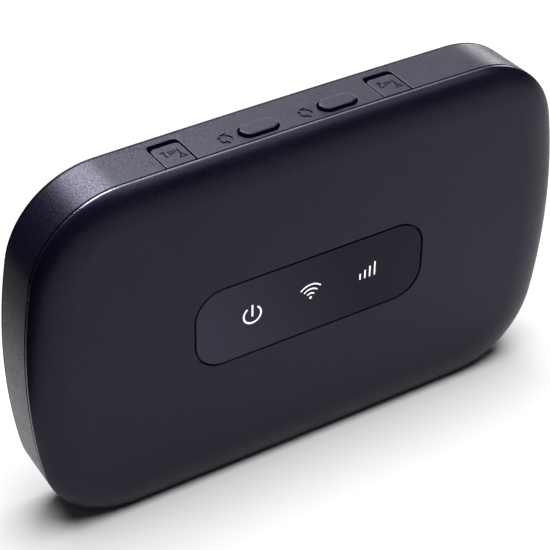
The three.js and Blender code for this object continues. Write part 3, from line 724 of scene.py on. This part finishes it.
inner_plastic = moulded("inner_plastic", (0.011, 0.011, 0.013), 0.52, 0.4, 0.35, wear=0.25)
gold_plate = metal("gold_plate", (0.86, 0.62, 0.26), 0.24, stain=0.85)
zinc = metal("zinc", (0.55, 0.56, 0.58), 0.3, stretch=(1, 1, 0.4))
fluoropolymer = milky("fluoropolymer")
battery_wrap = printed_sleeve()
FRAME_FINISHES = {
    "inner_plastic": inner_plastic,
    "foam": foam("black_foam", (0.012, 0.012, 0.013)),
    "diffuser": milky("diffuser"),
    "board": solder_mask(),
    "tin": metal("tinned_steel", (0.62, 0.63, 0.65), 0.34, stretch=(0.15, 1, 1)),
    "gold": gold_plate,
    "copper": metal("copper_foil", (0.72, 0.36, 0.20), 0.36, stretch=(1, 1, 0.2), stain=0.6),
}
BEVELLED = ("tin", "inner_plastic", "gold")


def finish_frame_nodes(shown):
    """Materials, and fine edges on the pressed and moulded parts, for the CAD nodes that stay in view."""
    for row in frame["record"]["subparts"]:
        if row["node"] not in shown:
            continue
        node = frame["nodes"][row["node"]]
        for slot in node.material_slots:
            slot.material = FRAME_FINISHES[row["material_slot"]]
        if row["material_slot"] in BEVELLED:
            bevel = node.modifiers.new("fine_edges", "BEVEL")
            bevel.width = 0.06 * MM
            bevel.segments = 2
            bevel.limit_method = "ANGLE"


# The case


def front_shell():
    """The front half of the case, with a rolled edge and a shallow pocket for the window."""
    surface = Surface()
    groove_front = SHELL_REAR - GROOVE_WIDTH
    outer = [body_ring(GROOVE_DEPTH, SHELL_REAR), body_ring(GROOVE_DEPTH, groove_front)]
    outer += [body_ring(inset, groove_front - drop) for drop, inset in fillet(GROOVE_ROUND)]
    roll_rear = groove_front - GROOVE_ROUND - RIM_WIDTH
    roll = []
    for a in np.linspace(ROLL_START, math.pi / 2, ROLL_STEPS):
        inward = 1 - math.cos(a) / math.cos(ROLL_START)
        forward = (math.sin(a) - math.sin(ROLL_START)) / (1 - math.sin(ROLL_START))
        inset = RIM_DROP + (FRONT_EDGE_WIDTH - RIM_DROP) * inward
        roll.append(body_ring(inset, roll_rear - (roll_rear - SHELL.y0) * forward))
    face_edge = roll[-1]
    rim = window_ring(POCKET_MARGIN + POCKET_LIP, SHELL.y0)
    face = [face_edge + (rim - face_edge) * share for share in np.linspace(0, 1, FACE_ROWS)[1:]]
    steps = [(POCKET_MARGIN + margin, SHELL.y0 + drop) for drop, margin in fillet(POCKET_LIP)[1:]]
    steps += [(POCKET_MARGIN, POCKET_FLOOR), (-PAD_MARGIN, POCKET_FLOOR), (-PAD_MARGIN, PAD_REAR)]
    steps += [(PAD_MARGIN, PAD_REAR), (PAD_MARGIN, SHELL.y0 + FRONT_WALL)]
    pocket = [window_ring(margin, y) for margin, y in steps]
    inner_face = body_ring(FRONT_EDGE_WIDTH, SHELL.y0 + FRONT_WALL)
    inner_width = FRONT_EDGE_WIDTH - FRONT_WALL
    inner_depth = SHELL_REAR - SHELL.y0 - FRONT_WALL
    back = [body_ring(FRONT_WALL + inner_width * (1 - math.cos(a)), SHELL_REAR - inner_depth * math.sin(a))
            for a in np.linspace(math.pi / 2, 0, BACK_ROWS)[1:]]
    rings = [*outer, *roll, *face, *pocket, inner_face, *back]
    surface.skin(rings, closed=True, polished=len(outer) - 1)
    materials = [shell_plastic, rim_plastic]
    surface.piece("front_shell_moulding", "housing", materials, ["front_shell"], sharp=9)


def indicator_window():
    """The satin window, with a finely rounded edge."""
    surface = Surface()
    steps = [(0, WINDOW.y1), (0, WINDOW.y0 + WINDOW_ROUND)]
    steps += [(margin - WINDOW_ROUND, WINDOW.y0 + drop) for drop, margin in fillet(WINDOW_ROUND)[::-1]]
    surface.skin([window_ring(margin, y) for margin, y in steps], capped=True)
    surface.piece("indicator_lens", "housing", [window_plastic], ["indicator_window"])


def openings():
    """The openings in the top edge: two flap notches and two button slots."""
    ports, slots = [], []
    for number in (1, 2):
        flap = span(f"antenna_flap_{number}")
        ports.append(Opening(flap.x0 - PORT_GAP, flap.x1 + PORT_GAP, HOUSING.y0 - 3, PORT_REAR, PORT_CORNER))
    for name in ("power", "wps"):
        cap = button_cap(name)
        y0, y1 = cap.y0 - SLOT_GAP, cap.y1 + SLOT_GAP
        slots.append(Opening(cap.x0 - SLOT_GAP, cap.x1 + SLOT_GAP, y0, y1, (y1 - y0) / 2))
    return ports, slots


def button_cap(name):
    """The part of a button above its flange."""
    whole = span(f"{name}_button")
    return Span(
        whole.x0 + BUTTON_FLANGE, whole.x1 - BUTTON_FLANGE,
        whole.y0 + BUTTON_FLANGE, whole.y1 - BUTTON_FLANGE,
        whole.z0, whole.z1,
    )


def housing_levels():
    """Depths from front to back at which the housing's wall has rows of points, and their insets."""
    front = [(HOUSING.y0 + drop, inset) for inset, drop in fillet(EDGE_ROUND)[::-1]]
    rest = np.linspace(HOUSING.y0 + EDGE_ROUND, HOUSING.y1 - EDGE_ROUND, WALL_ROWS)[1:]
    return front + [(y, 0.0) for y in rest]


def housing_edge(surface, side, columns, ports, slots, engravings):
    """One long edge of the housing's wall, with its openings, between two columns of the outline."""
    levels = housing_levels()
    grid = np.array([body_ring(0, y)[columns][:, :2] for y, _ in levels])
    outer_loop = np.vstack([grid[0], grid[1:-1, -1], grid[-1, ::-1], grid[-2:0:-1, 0]])
    cuts = [*ports, *slots]
    contours = [cut.outline(margin) for cut in cuts for _, margin in fillet(EDGE_ROUND)]
    lines = list(grid[1:ROUND_STEPS + 1])
    for port in ports:
        lines.append([(port.centre[0] + side_of_port * port.half[0], LEDGE_REAR) for side_of_port in (-1, 1)])
    drawing = triangulate([outer_loop, *contours, *engravings], lines)

    def kinds_at(centres):
        kinds = np.where(inside_any(centres, engravings), 3, 1)
        for cut in cuts:
            kinds[cut.distance(centres) < 0] = 0
        for port in ports:
            kinds[(port.distance(centres) < 0) & (centres[:, 1] < LEDGE_REAR)] = 2
        kinds[~inside(centres, outer_loop)] = 0
        return kinds

    def rounded(x, y):
        gaps = [float(cut.distance((x, y))) for cut in cuts]
        return rounding(min([y - HOUSING.y0, *gaps]))

    def on_border(point):
        end = grid[0, 0, 0] / draft(HOUSING.y0)[0] * draft(point[1])[0]
        return point[1] > levels[-1][0] - 1e-3 or abs(point[0]) > abs(end) - 1e-3

    surface.columns(
        drawing, kinds_at, {1: (rounded, 0), 2: (LEDGE_DEPTH, 0), 3: (ENGRAVING, 0)}, HOUSING_WALL,
        lambda x, y, depth: edge_point(side, x, y, depth),
        levels=(LEDGE_DEPTH,), shared=lambda a, b: on_border(a) and on_border(b),
    )


def rear_housing():
    """The wall round the case, with the openings in its top and bottom edges."""
    surface = Surface()
    levels = housing_levels()
    top = list(range(QUARTER - EDGE_STEPS, QUARTER + EDGE_STEPS + 1))
    bottom = [i + 2 * QUARTER for i in top]
    skip = {*top[:-1], *bottom[:-1]}
    outer = [surface.add(body_ring(inset, y)) for y, inset in levels]
    inner = [surface.add(body_ring(HOUSING_WALL, y)) for y, _ in levels]
    ledge = surface.add(body_ring(LEDGE_DEPTH, HOUSING.y0))
    for rings in (outer, inner, [outer[0], ledge, inner[0]]):
        for first, second in zip(rings, rings[1:]):
            surface.bridge(first, second, skip)
    rear = [outer[-1]]
    for inset, drop in fillet(EDGE_ROUND)[1:]:
        rear.append(surface.add(body_ring(inset, HOUSING.y1 - drop)))
    rear += [surface.add(body_ring(HOUSING_WALL, HOUSING.y1)), inner[-1]]
    for first, second in zip(rear, rear[1:]):
        surface.bridge(first, second)
    ports, slots = openings()
    housing_edge(surface, 1, top, ports, slots, edge_symbols())
    usb = span("usb_shell")
    usb_cut = Opening(usb.x0 - USB_GAP, usb.x1 + USB_GAP, usb.y0 - USB_GAP, usb.y1 + USB_GAP, USB_CORNER)
    housing_edge(surface, -1, bottom, [], [usb_cut], [])
    surface.piece("rear_housing_wall", "housing", [shell_plastic], ["rear_housing"])


def rectangle(x0, x1, z0, z1):
    return np.array([(x0, z0), (x1, z0), (x1, z1), (x0, z1)], float)


def circle(x, z, radius, steps=48):
    return arc((x, z), radius, 0, 2 * math.pi, steps, endpoint=False)


def around(part, margin):
    """A rectangle in x and z, larger than a part by a margin."""
    return rectangle(part.x0 - margin, part.x1 + margin, part.z0 - margin, part.z1 + margin)


def middle(part):
    return (part.x0 + part.x1) / 2, (part.z0 + part.z1) / 2


def floor_openings():
    """What is cut out of the floor: the connector, cards, screws, switches and antenna wells."""
    found = [around(span("battery_connector"), OPENING_GAP)]
    found += [around(span(name), CARD_GAP) for name in ("sim_holder", "memory_card_holder")]
    found += [circle(*middle(span(f"case_screw_{number}")), SCREW_BORE, 24) for number in (1, 2, 3, 4)]
    for name in ("power", "wps"):
        button = span(f"{name}_button")
        bottom = span(f"{name}_switch").z0 - OPENING_GAP
        found.append(rectangle(button.x0 - OPENING_GAP, button.x1 + OPENING_GAP, bottom, HOUSING.z1))
    for number in (1, 2):
        flap = span(f"antenna_flap_{number}")
        reach = PORT_GAP + WELL_WALL + WELL_FIT
        jack = span(f"antenna_jack_{number}_shell")
        found.append(rectangle(flap.x0 - reach, flap.x1 + reach, jack.z0 - CARD_GAP, HOUSING.z1))
    return found


def housing_floor():
    """The floor that carries the battery's bay."""
    surface = Surface()
    plate = body_ring(HOUSING_WALL - FLOOR_OVERLAP, FLOOR_REAR)[:, [0, 2]]
    cell = span("battery_cell")
    cap = span("battery_end_cap")
    bay = Span(cell.x0, cell.x1, 0, 0, cell.z0, cap.z1)
    inner = around(bay, BAY_MARGIN)
    outer = around(bay, BAY_MARGIN + BAY_WALL)
    notch = circle(0, bay.z0 - BAY_MARGIN, FINGER_NOTCH)
    cuts = floor_openings()
    drawing = triangulate([plate, inner, outer, notch, *cuts])

    def kinds_at(centres):
        walls = inside(centres, outer) & ~inside(centres, inner) & ~inside(centres, notch)
        kinds = np.where(walls, 2, 1)
        kinds[~inside(centres, plate) | inside_any(centres, cuts)] = 0
        return kinds

    surface.columns(
        drawing, kinds_at, {1: (-FLOOR_REAR, 0), 2: (-BAY_REAR, 0)}, -FLOOR_FRONT,
        lambda x, z, depth: (x, -depth, z), levels=(-FLOOR_REAR,),
    )
    surface.piece("rear_housing_floor", "housing", [inner_plastic], ["rear_housing"])


def antenna_wells():
    """The tubes that lead from the flaps down to the antenna jacks."""
    for number in (1, 2):
        flap = span(f"antenna_flap_{number}")
        hinge = flap.y0 + (flap.z1 - flap.z0) / 2
        bore = Opening(flap.x0 - PORT_GAP, flap.x1 + PORT_GAP, hinge, PORT_REAR, PORT_CORNER).outline()
        reach = PORT_GAP + WELL_WALL
        wall = rectangle(flap.x0 - reach, flap.x1 + reach, hinge - WELL_FRONT_WALL, PORT_REAR + WELL_WALL)
        surface = Surface()
        surface.columns(
            triangulate([wall, bore]),
            lambda centres: (~inside(centres, bore)).astype(int),
            {1: (HOUSING_WALL - HOUSING.z1, 0)}, -WELL_BOTTOM,
            lambda x, y, depth: (x, y, -depth),
        )
        surface.piece(f"antenna_well_{number}", "housing", [inner_plastic], ["rear_housing"])


def antenna_jacks():
    """Gold-plated coaxial jacks: a square base, a barrel with a rounded mouth, the insulator and the pin."""
    for number in (1, 2):
        name = f"antenna_jack_{number}"
        shell, bead, pin = [span(f"{name}_{part}") for part in ("shell", "insulator", "contact")]
        middle_x = (shell.x0 + shell.x1) / 2
        middle_y = (shell.y0 + shell.y1) / 2
        axis = Span(middle_x, middle_x, middle_y, middle_y, 0, 0)
        half = (shell.x1 - shell.x0) / 2
        ring = (bead.x1 - bead.x0) / 2
        base = shell.z0 + JACK_BASE
        blocks = [level_ring(axis, size, 0.25, z, (1, 12, 1)) for size, z in (
            (half, shell.z0), (half, base - 0.1), (half - 0.1, base),
        )]
        barrel = [
            (JACK_RADIUS, base), (JACK_RADIUS, base + 0.6), (JACK_RADIUS - 0.12, base + 0.7),
            (JACK_RADIUS - 0.12, base + 1), (JACK_RADIUS, base + 1.1), (JACK_RADIUS, shell.z1 - 0.15),
            (JACK_RADIUS - 0.06, shell.z1 - 0.04), (JACK_RADIUS - 0.16, shell.z1),
            (JACK_BORE + 0.12, shell.z1), (JACK_BORE, shell.z1 - 0.15), (JACK_BORE, bead.z0 - 0.05),
        ]
        collar = [
            (0.5, bead.z0), (ring, bead.z0), (ring, bead.z1 - 0.08), (ring - 0.08, bead.z1),
            (0.62, bead.z1), (0.5, bead.z1 - 0.15),
        ]
        needle = [
            (0.4, pin.z0), (0.4, pin.z1 - 0.3), (0.36, pin.z1 - 0.12), (0.22, pin.z1 - 0.02), (0.1, pin.z1),
        ]
        for part, below, profile, material, slot, node in (
            ("barrel", blocks, barrel, gold_plate, "gold", "shell"),
            ("bead", [], collar, fluoropolymer, "insulator", "insulator"),
            ("pin", [], needle, gold_plate, "gold", "contact"),
        ):
            discs = [level_ring(axis, radius, radius - 0.005, z, (1, 12, 1)) for radius, z in profile]
            surface = Surface()
            surface.skin(below + discs, closed=part == "bead", capped=part != "bead")
            surface.piece(f"{name}_{part}", "housing", [material], [f"{name}_{node}"])


def case_screws():
    """Pan-head screws with a cross recess."""
    for number in (1, 2, 3, 4):
        screw = span(f"case_screw_{number}")
        x, z = middle(screw)
        radius = (screw.x1 - screw.x0) / 2
        circles = [circle(x, z, radius * share) for share in (1, 0.96, 0.88, 0.7, 0.45)]
        cross = [stroke([(x - i, z - j), (x + i, z + j)], 0.46) for i, j in ((CROSS, 0), (0, CROSS))]

        def dome(px, pz):
            share = min(math.hypot(px - x, pz - z) / radius, 1)
            return 0.55 * (1 - math.sqrt(1 - (0.98 * share) ** 2))

        def recess(px, pz):
            return 0.3 + 0.35 * max(1 - math.hypot(px - x, pz - z) / 1.1, 0)

        surface = Surface()
        surface.columns(
            triangulate([*circles, *cross]),
            lambda centres: np.where(inside_any(centres, cross), 2, 1),
            {1: (dome, 0), 2: (recess, 0)}, SCREW_HEAD,
            lambda px, pz, depth: (px, screw.y1 - depth, pz),
        )
        ends = (screw.y0, screw.y1 - SCREW_HEAD - 0.01)
        shank = [np.insert(circle(x, z, SCREW_SHANK, 24), 1, y, axis=1) for y in ends]
        surface.skin(shank, capped=True)
        surface.piece(f"case_screw_{number}_pan", "housing", [zinc], [f"case_screw_{number}"])


def battery_pack():
    """The battery's sleeve and its end cap, with soft edges."""
    for node, name, material, slot, rounds in (
        ("battery_cell", "battery_sleeve", battery_wrap, "battery_sleeve", (0.7, 0.1)),
        ("battery_end_cap", "battery_cap_moulding", inner_plastic, "inner_plastic", (0.1, 0.45)),
    ):
        part = span(node)
        low, high = rounds
        steps = [(inset, part.z0 + drop) for drop, inset in fillet(low)]
        steps += [(inset, part.z1 - drop) for inset, drop in fillet(high)]
        surface = Surface()
        surface.skin([
            level_ring(part, -inset, max(BATTERY_CORNER - inset, 0.2), z, (2, 10, 12)) for inset, z in steps
        ], capped=True)
        surface.piece(name, "battery", [material], [node])


# Symbols


def power_symbol(radius, width, gap=0.62, bar=(-0.2, 1.2)):
    """A broken ring with a bar through the gap."""
    ring = arc((0, 0), radius, math.pi / 2 + gap, math.pi * 2.5 - gap, 40)
    return [stroke(ring, width), stroke([(0, bar[0] * radius), (0, bar[1] * radius)], width)]


def wifi_symbol(width):
    """A dot under three arcs."""
    waves = [stroke(arc((0, 0), radius, math.radians(90 - half), math.radians(90 + half), 24), width)
             for radius, half in ((0.95, 45), (1.87, 45), (2.8, 46))]
    return [circle(0, 0, 0.26, 20), *waves]


def signal_symbol(width):
    """Four bars that grow to the right."""
    bars = ((-1.5, 1.25), (-0.5, 1.75), (0.5, 2.25), (1.5, 2.85))
    return [stroke([(x, 0), (x, height)], width) for x, height in bars]


def moved(loops, x, y, turned=False):
    """Loops moved to a place, and turned half round where the symbol is read from behind."""
    return [np.asarray(loop) * (-1 if turned else 1) + (x, y) for loop in loops]


def sync_symbol(radius, width):
    """Two arrows that chase each other round a ring."""
    loops = []
    for start in (-1.0, math.pi - 1.0):
        ring = arc((0, 0), radius, start, start + 2.1, 16)
        loops.append(stroke(ring, width))
        end = ring[-1]
        along = ring[-1] - ring[-2]
        along /= np.linalg.norm(along)
        across = np.array([-along[1], along[0]])
        wing = across * width * 1.5
        loops.append(np.array([end - wing, end + along * width * 2.1, end + wing]))
    return loops


def edge_symbols():
    """The symbols beside the two buttons, engraved in the top edge."""
    found = []
    for cap in (button_cap("power"), button_cap("wps")):
        ring = sync_symbol(RING_RADIUS, RING_WIDTH)
        found += moved(ring, cap.x0 - RING_OFFSET, (cap.y0 + cap.y1) / 2, turned=True)
    return found


def indicator_symbols():
    """White symbols set into the window."""
    drawings = {
        "power_symbol": moved(power_symbol(POWER_RADIUS, POWER_WIDTH), POWER_X, ICON_Z),
        "wifi_symbol": moved(wifi_symbol(WIFI_WIDTH), WIFI_X, ICON_Z - WIFI_DROP),
        "signal_symbol": moved(signal_symbol(SIGNAL_WIDTH), SIGNAL_X, ICON_Z - SIGNAL_DROP),
    }
    for name, loops in drawings.items():
        surface = Surface()
        surface.columns(
            triangulate(loops),
            lambda centres: inside_any(centres, loops).astype(int),
            {1: (SYMBOL_PROUD, 0)}, SYMBOL_SUNK,
            lambda x, z, depth: (x, WINDOW.y0 + depth, z),
        )
        surface.piece(name, "housing", [symbol_white])


# Moving pieces


def buttons():
    """Caps with a rounded rim on a flange that keeps them in."""
    for name in ("power", "wps"):
        cap = button_cap(name)
        end_radius = (cap.y1 - cap.y0) / 2
        flange_top = cap.z0 + FLANGE_THICKNESS
        steps = [(BUTTON_FLANGE, cap.z0), (BUTTON_FLANGE, flange_top), (0, flange_top)]
        steps += [(-inset, cap.z1 - drop) for inset, drop in fillet(BUTTON_ROUND, 6)]
        steps.append((-BUTTON_ROUND - 0.5, cap.z1 + BUTTON_CROWN))
        body = f"{name}_button"
        surface = Surface()
        surface.skin([
            level_ring(cap, margin, end_radius + margin - 0.01, z, (1, 16, 6)) for margin, z in steps
        ], capped=True)
        surface.piece(f"{body}_cap", body, [flap_plastic], [body])


def digit(number, height, width):
    """The outline of a 1 or a 2, drawn round the middle of its foot."""
    if number == 1:
        serif = 0.26 * height
        return [
            stroke([(0, 0), (0, height)], width),
            stroke([(-serif, 0), (serif, 0)], width),
            stroke([(-serif, height), (serif * 0.3, height)], width),
        ]
    radius = 0.27 * height
    bowl = arc((0, height - radius), radius, math.pi, -0.9, 14)
    return [stroke([*bowl, (-radius, 0)], width), stroke([(-radius, 0), (radius * 1.1, 0)], width)]


def flap_symbols(number):
    """An antenna, four bars and the port's number, read from behind."""
    mast = stroke([(0, 0), (0, 1.5)], 0.27)
    dish = [stroke([(-0.72, 2.55), (0.72, 2.55)], 0.24)]
    dish += [stroke([(side * 0.64, 2.62), (side * -0.07, 1.3)], 0.24) for side in (-1, 1)]
    bars = [stroke([(x, 0), (x, 0.8 + 0.15 * i)], 0.19) for i, x in enumerate((0.5, 0.89, 1.28, 1.67))]
    return [mast, *dish, *bars, *moved(digit(number, 1.5, 0.27), 2.5, -0.1)]


def antenna_flaps():
    """The flaps over the antenna sockets, each with its symbols engraved."""
    for number in (1, 2):
        flap = span(f"antenna_flap_{number}")
        x = (flap.x0 + flap.x1) / 2
        outline = Opening(flap.x0, flap.x1, flap.y0 - 3, flap.y1, FLAP_CORNER)
        thickness = flap.z1 - flap.z0
        front = flap.y0
        symbols = moved(flap_symbols(number), x + 1.37, 1.02, turned=True)
        upper = outline.outline()
        upper = upper[:len(upper) // 2 + 1]
        corners = np.array([(flap.x0, front), (flap.x1, front), *[p for p in upper if p[1] > front]])
        contours = [outline.outline(margin - EDGE_ROUND) for _, margin in fillet(EDGE_ROUND)[1:]]
        rows = [[(end, front + step) for end in (flap.x0, flap.x1)] for step, _ in fillet(FLAP_NOSE)[1:]]
        drawing = triangulate([corners, *contours, *symbols], rows)

        def kinds_at(centres):
            kinds = np.where(inside_any(centres, symbols), 2, 1)
            kinds[~inside(centres, corners)] = 0
            return kinds

        def nose(y):
            return rounding(y - front, FLAP_NOSE)

        def rounded(px, y):
            return max(rounding(-float(outline.distance((px, y)))), nose(y)) + FLAP_SUNK

        surface = Surface()
        surface.columns(
            drawing, kinds_at,
            {1: (rounded, 0), 2: (ENGRAVING + FLAP_SUNK, 1)},
            lambda px, y: thickness + FLAP_SUNK - nose(y),
            lambda px, y, depth: edge_point(1, px, y, depth),
        )
        body = f"antenna_flap_{number}"
        # The engraved symbols' floors take the second material, which is painted shade.
        surface.piece(f"{body}_moulding", body, [flap_plastic, engraving_painted_shade], [body])


def back_cover():
    """The lid over the battery, with a rounded edge and a rim that fits inside the wall."""
    surface = Surface()
    rim_outer = HOUSING_WALL + LID_FIT
    rim_inner = rim_outer + LID_RIM_WALL
    plate = LID_FRONT - LID_PLATE
    steps = [(rim_inner, plate), (rim_inner, COVER.y0), (rim_outer, COVER.y0), (rim_outer, LID_FRONT)]
    steps += [(inset, LID_FRONT + drop) for drop, inset in fillet(EDGE_ROUND / 2)]
    steps += [(inset, COVER.y1 - drop) for inset, drop in fillet(LID_ROUND, 8)]
    surface.skin([body_ring(inset, y) for inset, y in steps], capped=True)
    surface.piece("back_cover_moulding", "back_cover", [shell_plastic], ["back_cover"])


# Studio


def added(name, data):
    """A new object in the scene."""
    made = bpy.data.objects.new(name, data)
    bpy.context.scene.collection.objects.link(made)
    return made


def aimed(name, data, target, azimuth, elevation, distance, roll=0.0):
    """A camera or light that looks at a target in metres, from two angles in degrees and a distance."""
    a = math.radians(azimuth)
    e = math.radians(elevation)
    back = Vector((math.sin(a) * math.cos(e), -math.cos(a) * math.cos(e), math.sin(e)))
    made = added(name, data)
    made.location = Vector(target) + back * distance
    made.rotation_mode = "QUATERNION"
    made.rotation_quaternion = back.to_track_quat("Z", "Y") @ Quaternion((0, 0, 1), math.radians(roll))
    return made


def camera():
    data = bpy.data.cameras.new("camera")
    data.lens = CAMERA_LENS
    data.sensor_width = 36
    data.clip_start = 0.01
    angles = (CAMERA_AZIMUTH, CAMERA_ELEVATION, CAMERA_DISTANCE, CAMERA_ROLL)
    bpy.context.scene.camera = aimed("camera", data, CAMERA_TARGET, *angles)


def softbox(name, azimuth, elevation, distance, width, height, radiance, spared):
    """A rectangular soft light aimed at the object. It leaves out the spared surface."""
    data = bpy.data.lights.new(name, "AREA")
    data.shape = "RECTANGLE"
    data.size = width
    data.size_y = height
    data.energy = radiance * math.pi * width * height
    made = aimed(name, data, (0, 0, MIDDLE_Z * MM), azimuth, elevation, distance)
    if spared is not None:
        flagged = bpy.data.collections.new(f"{name}_flag")
        flagged.objects.link(spared)
        flagged.collection_objects[0].light_linking.link_state = "EXCLUDE"
        made.light_linking.receiver_collection = flagged


def floor():
    left, right, front, rear = FLOOR_ENDS
    corners = [(left, front, 0), (right, front, 0), (right, rear, 0), (left, rear, 0)]
    mesh = bpy.data.meshes.new("floor")
    mesh.from_pydata(corners, [], [(0, 1, 2, 3)])
    made = added("floor", mesh)
    paper = Shader("floor_paper", 0.9, level=0.2)
    paper.colour(paper.mix(paper.cloud(40), (0.86, 0.86, 0.87), (0.88, 0.88, 0.885)))
    mesh.materials.append(paper.material)
    return made


def studio(ground):
    for name, settings, lights_floor in SOFTBOXES:
        softbox(f"{name}_softbox", *settings, spared=None if lights_floor else ground)
    world = bpy.data.worlds.new("studio")
    world.use_nodes = True
    tree = world.node_tree
    dim = tree.nodes["Background"]
    dim.inputs["Color"].default_value = (0.9, 0.93, 1, 1)
    dim.inputs["Strength"].default_value = 0.03
    pale = tree.nodes.new("ShaderNodeBackground")
    pale.inputs["Color"].default_value = (1, 1, 1, 1)
    seen = tree.nodes.new("ShaderNodeLightPath")
    mix = tree.nodes.new("ShaderNodeMixShader")
    tree.links.new(seen.outputs["Is Camera Ray"], mix.inputs["Fac"])
    tree.links.new(dim.outputs["Background"], mix.inputs[1])
    tree.links.new(pale.outputs["Background"], mix.inputs[2])
    tree.links.new(mix.outputs["Shader"], tree.nodes["World Output"].inputs["Surface"])
    bpy.context.scene.world = world
    bpy.context.scene.view_settings.view_transform = "Standard"


camera()
studio(floor())
front_shell()
indicator_window()
indicator_symbols()
rear_housing()
buttons()
antenna_flaps()
back_cover()
housing_floor()
antenna_wells()
antenna_jacks()
case_screws()
battery_pack()
stood_for = {node for made in bpy.data.objects for node in made.get("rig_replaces", [])}
finish_frame_nodes({row["node"] for row in frame["record"]["subparts"]} - stood_for)
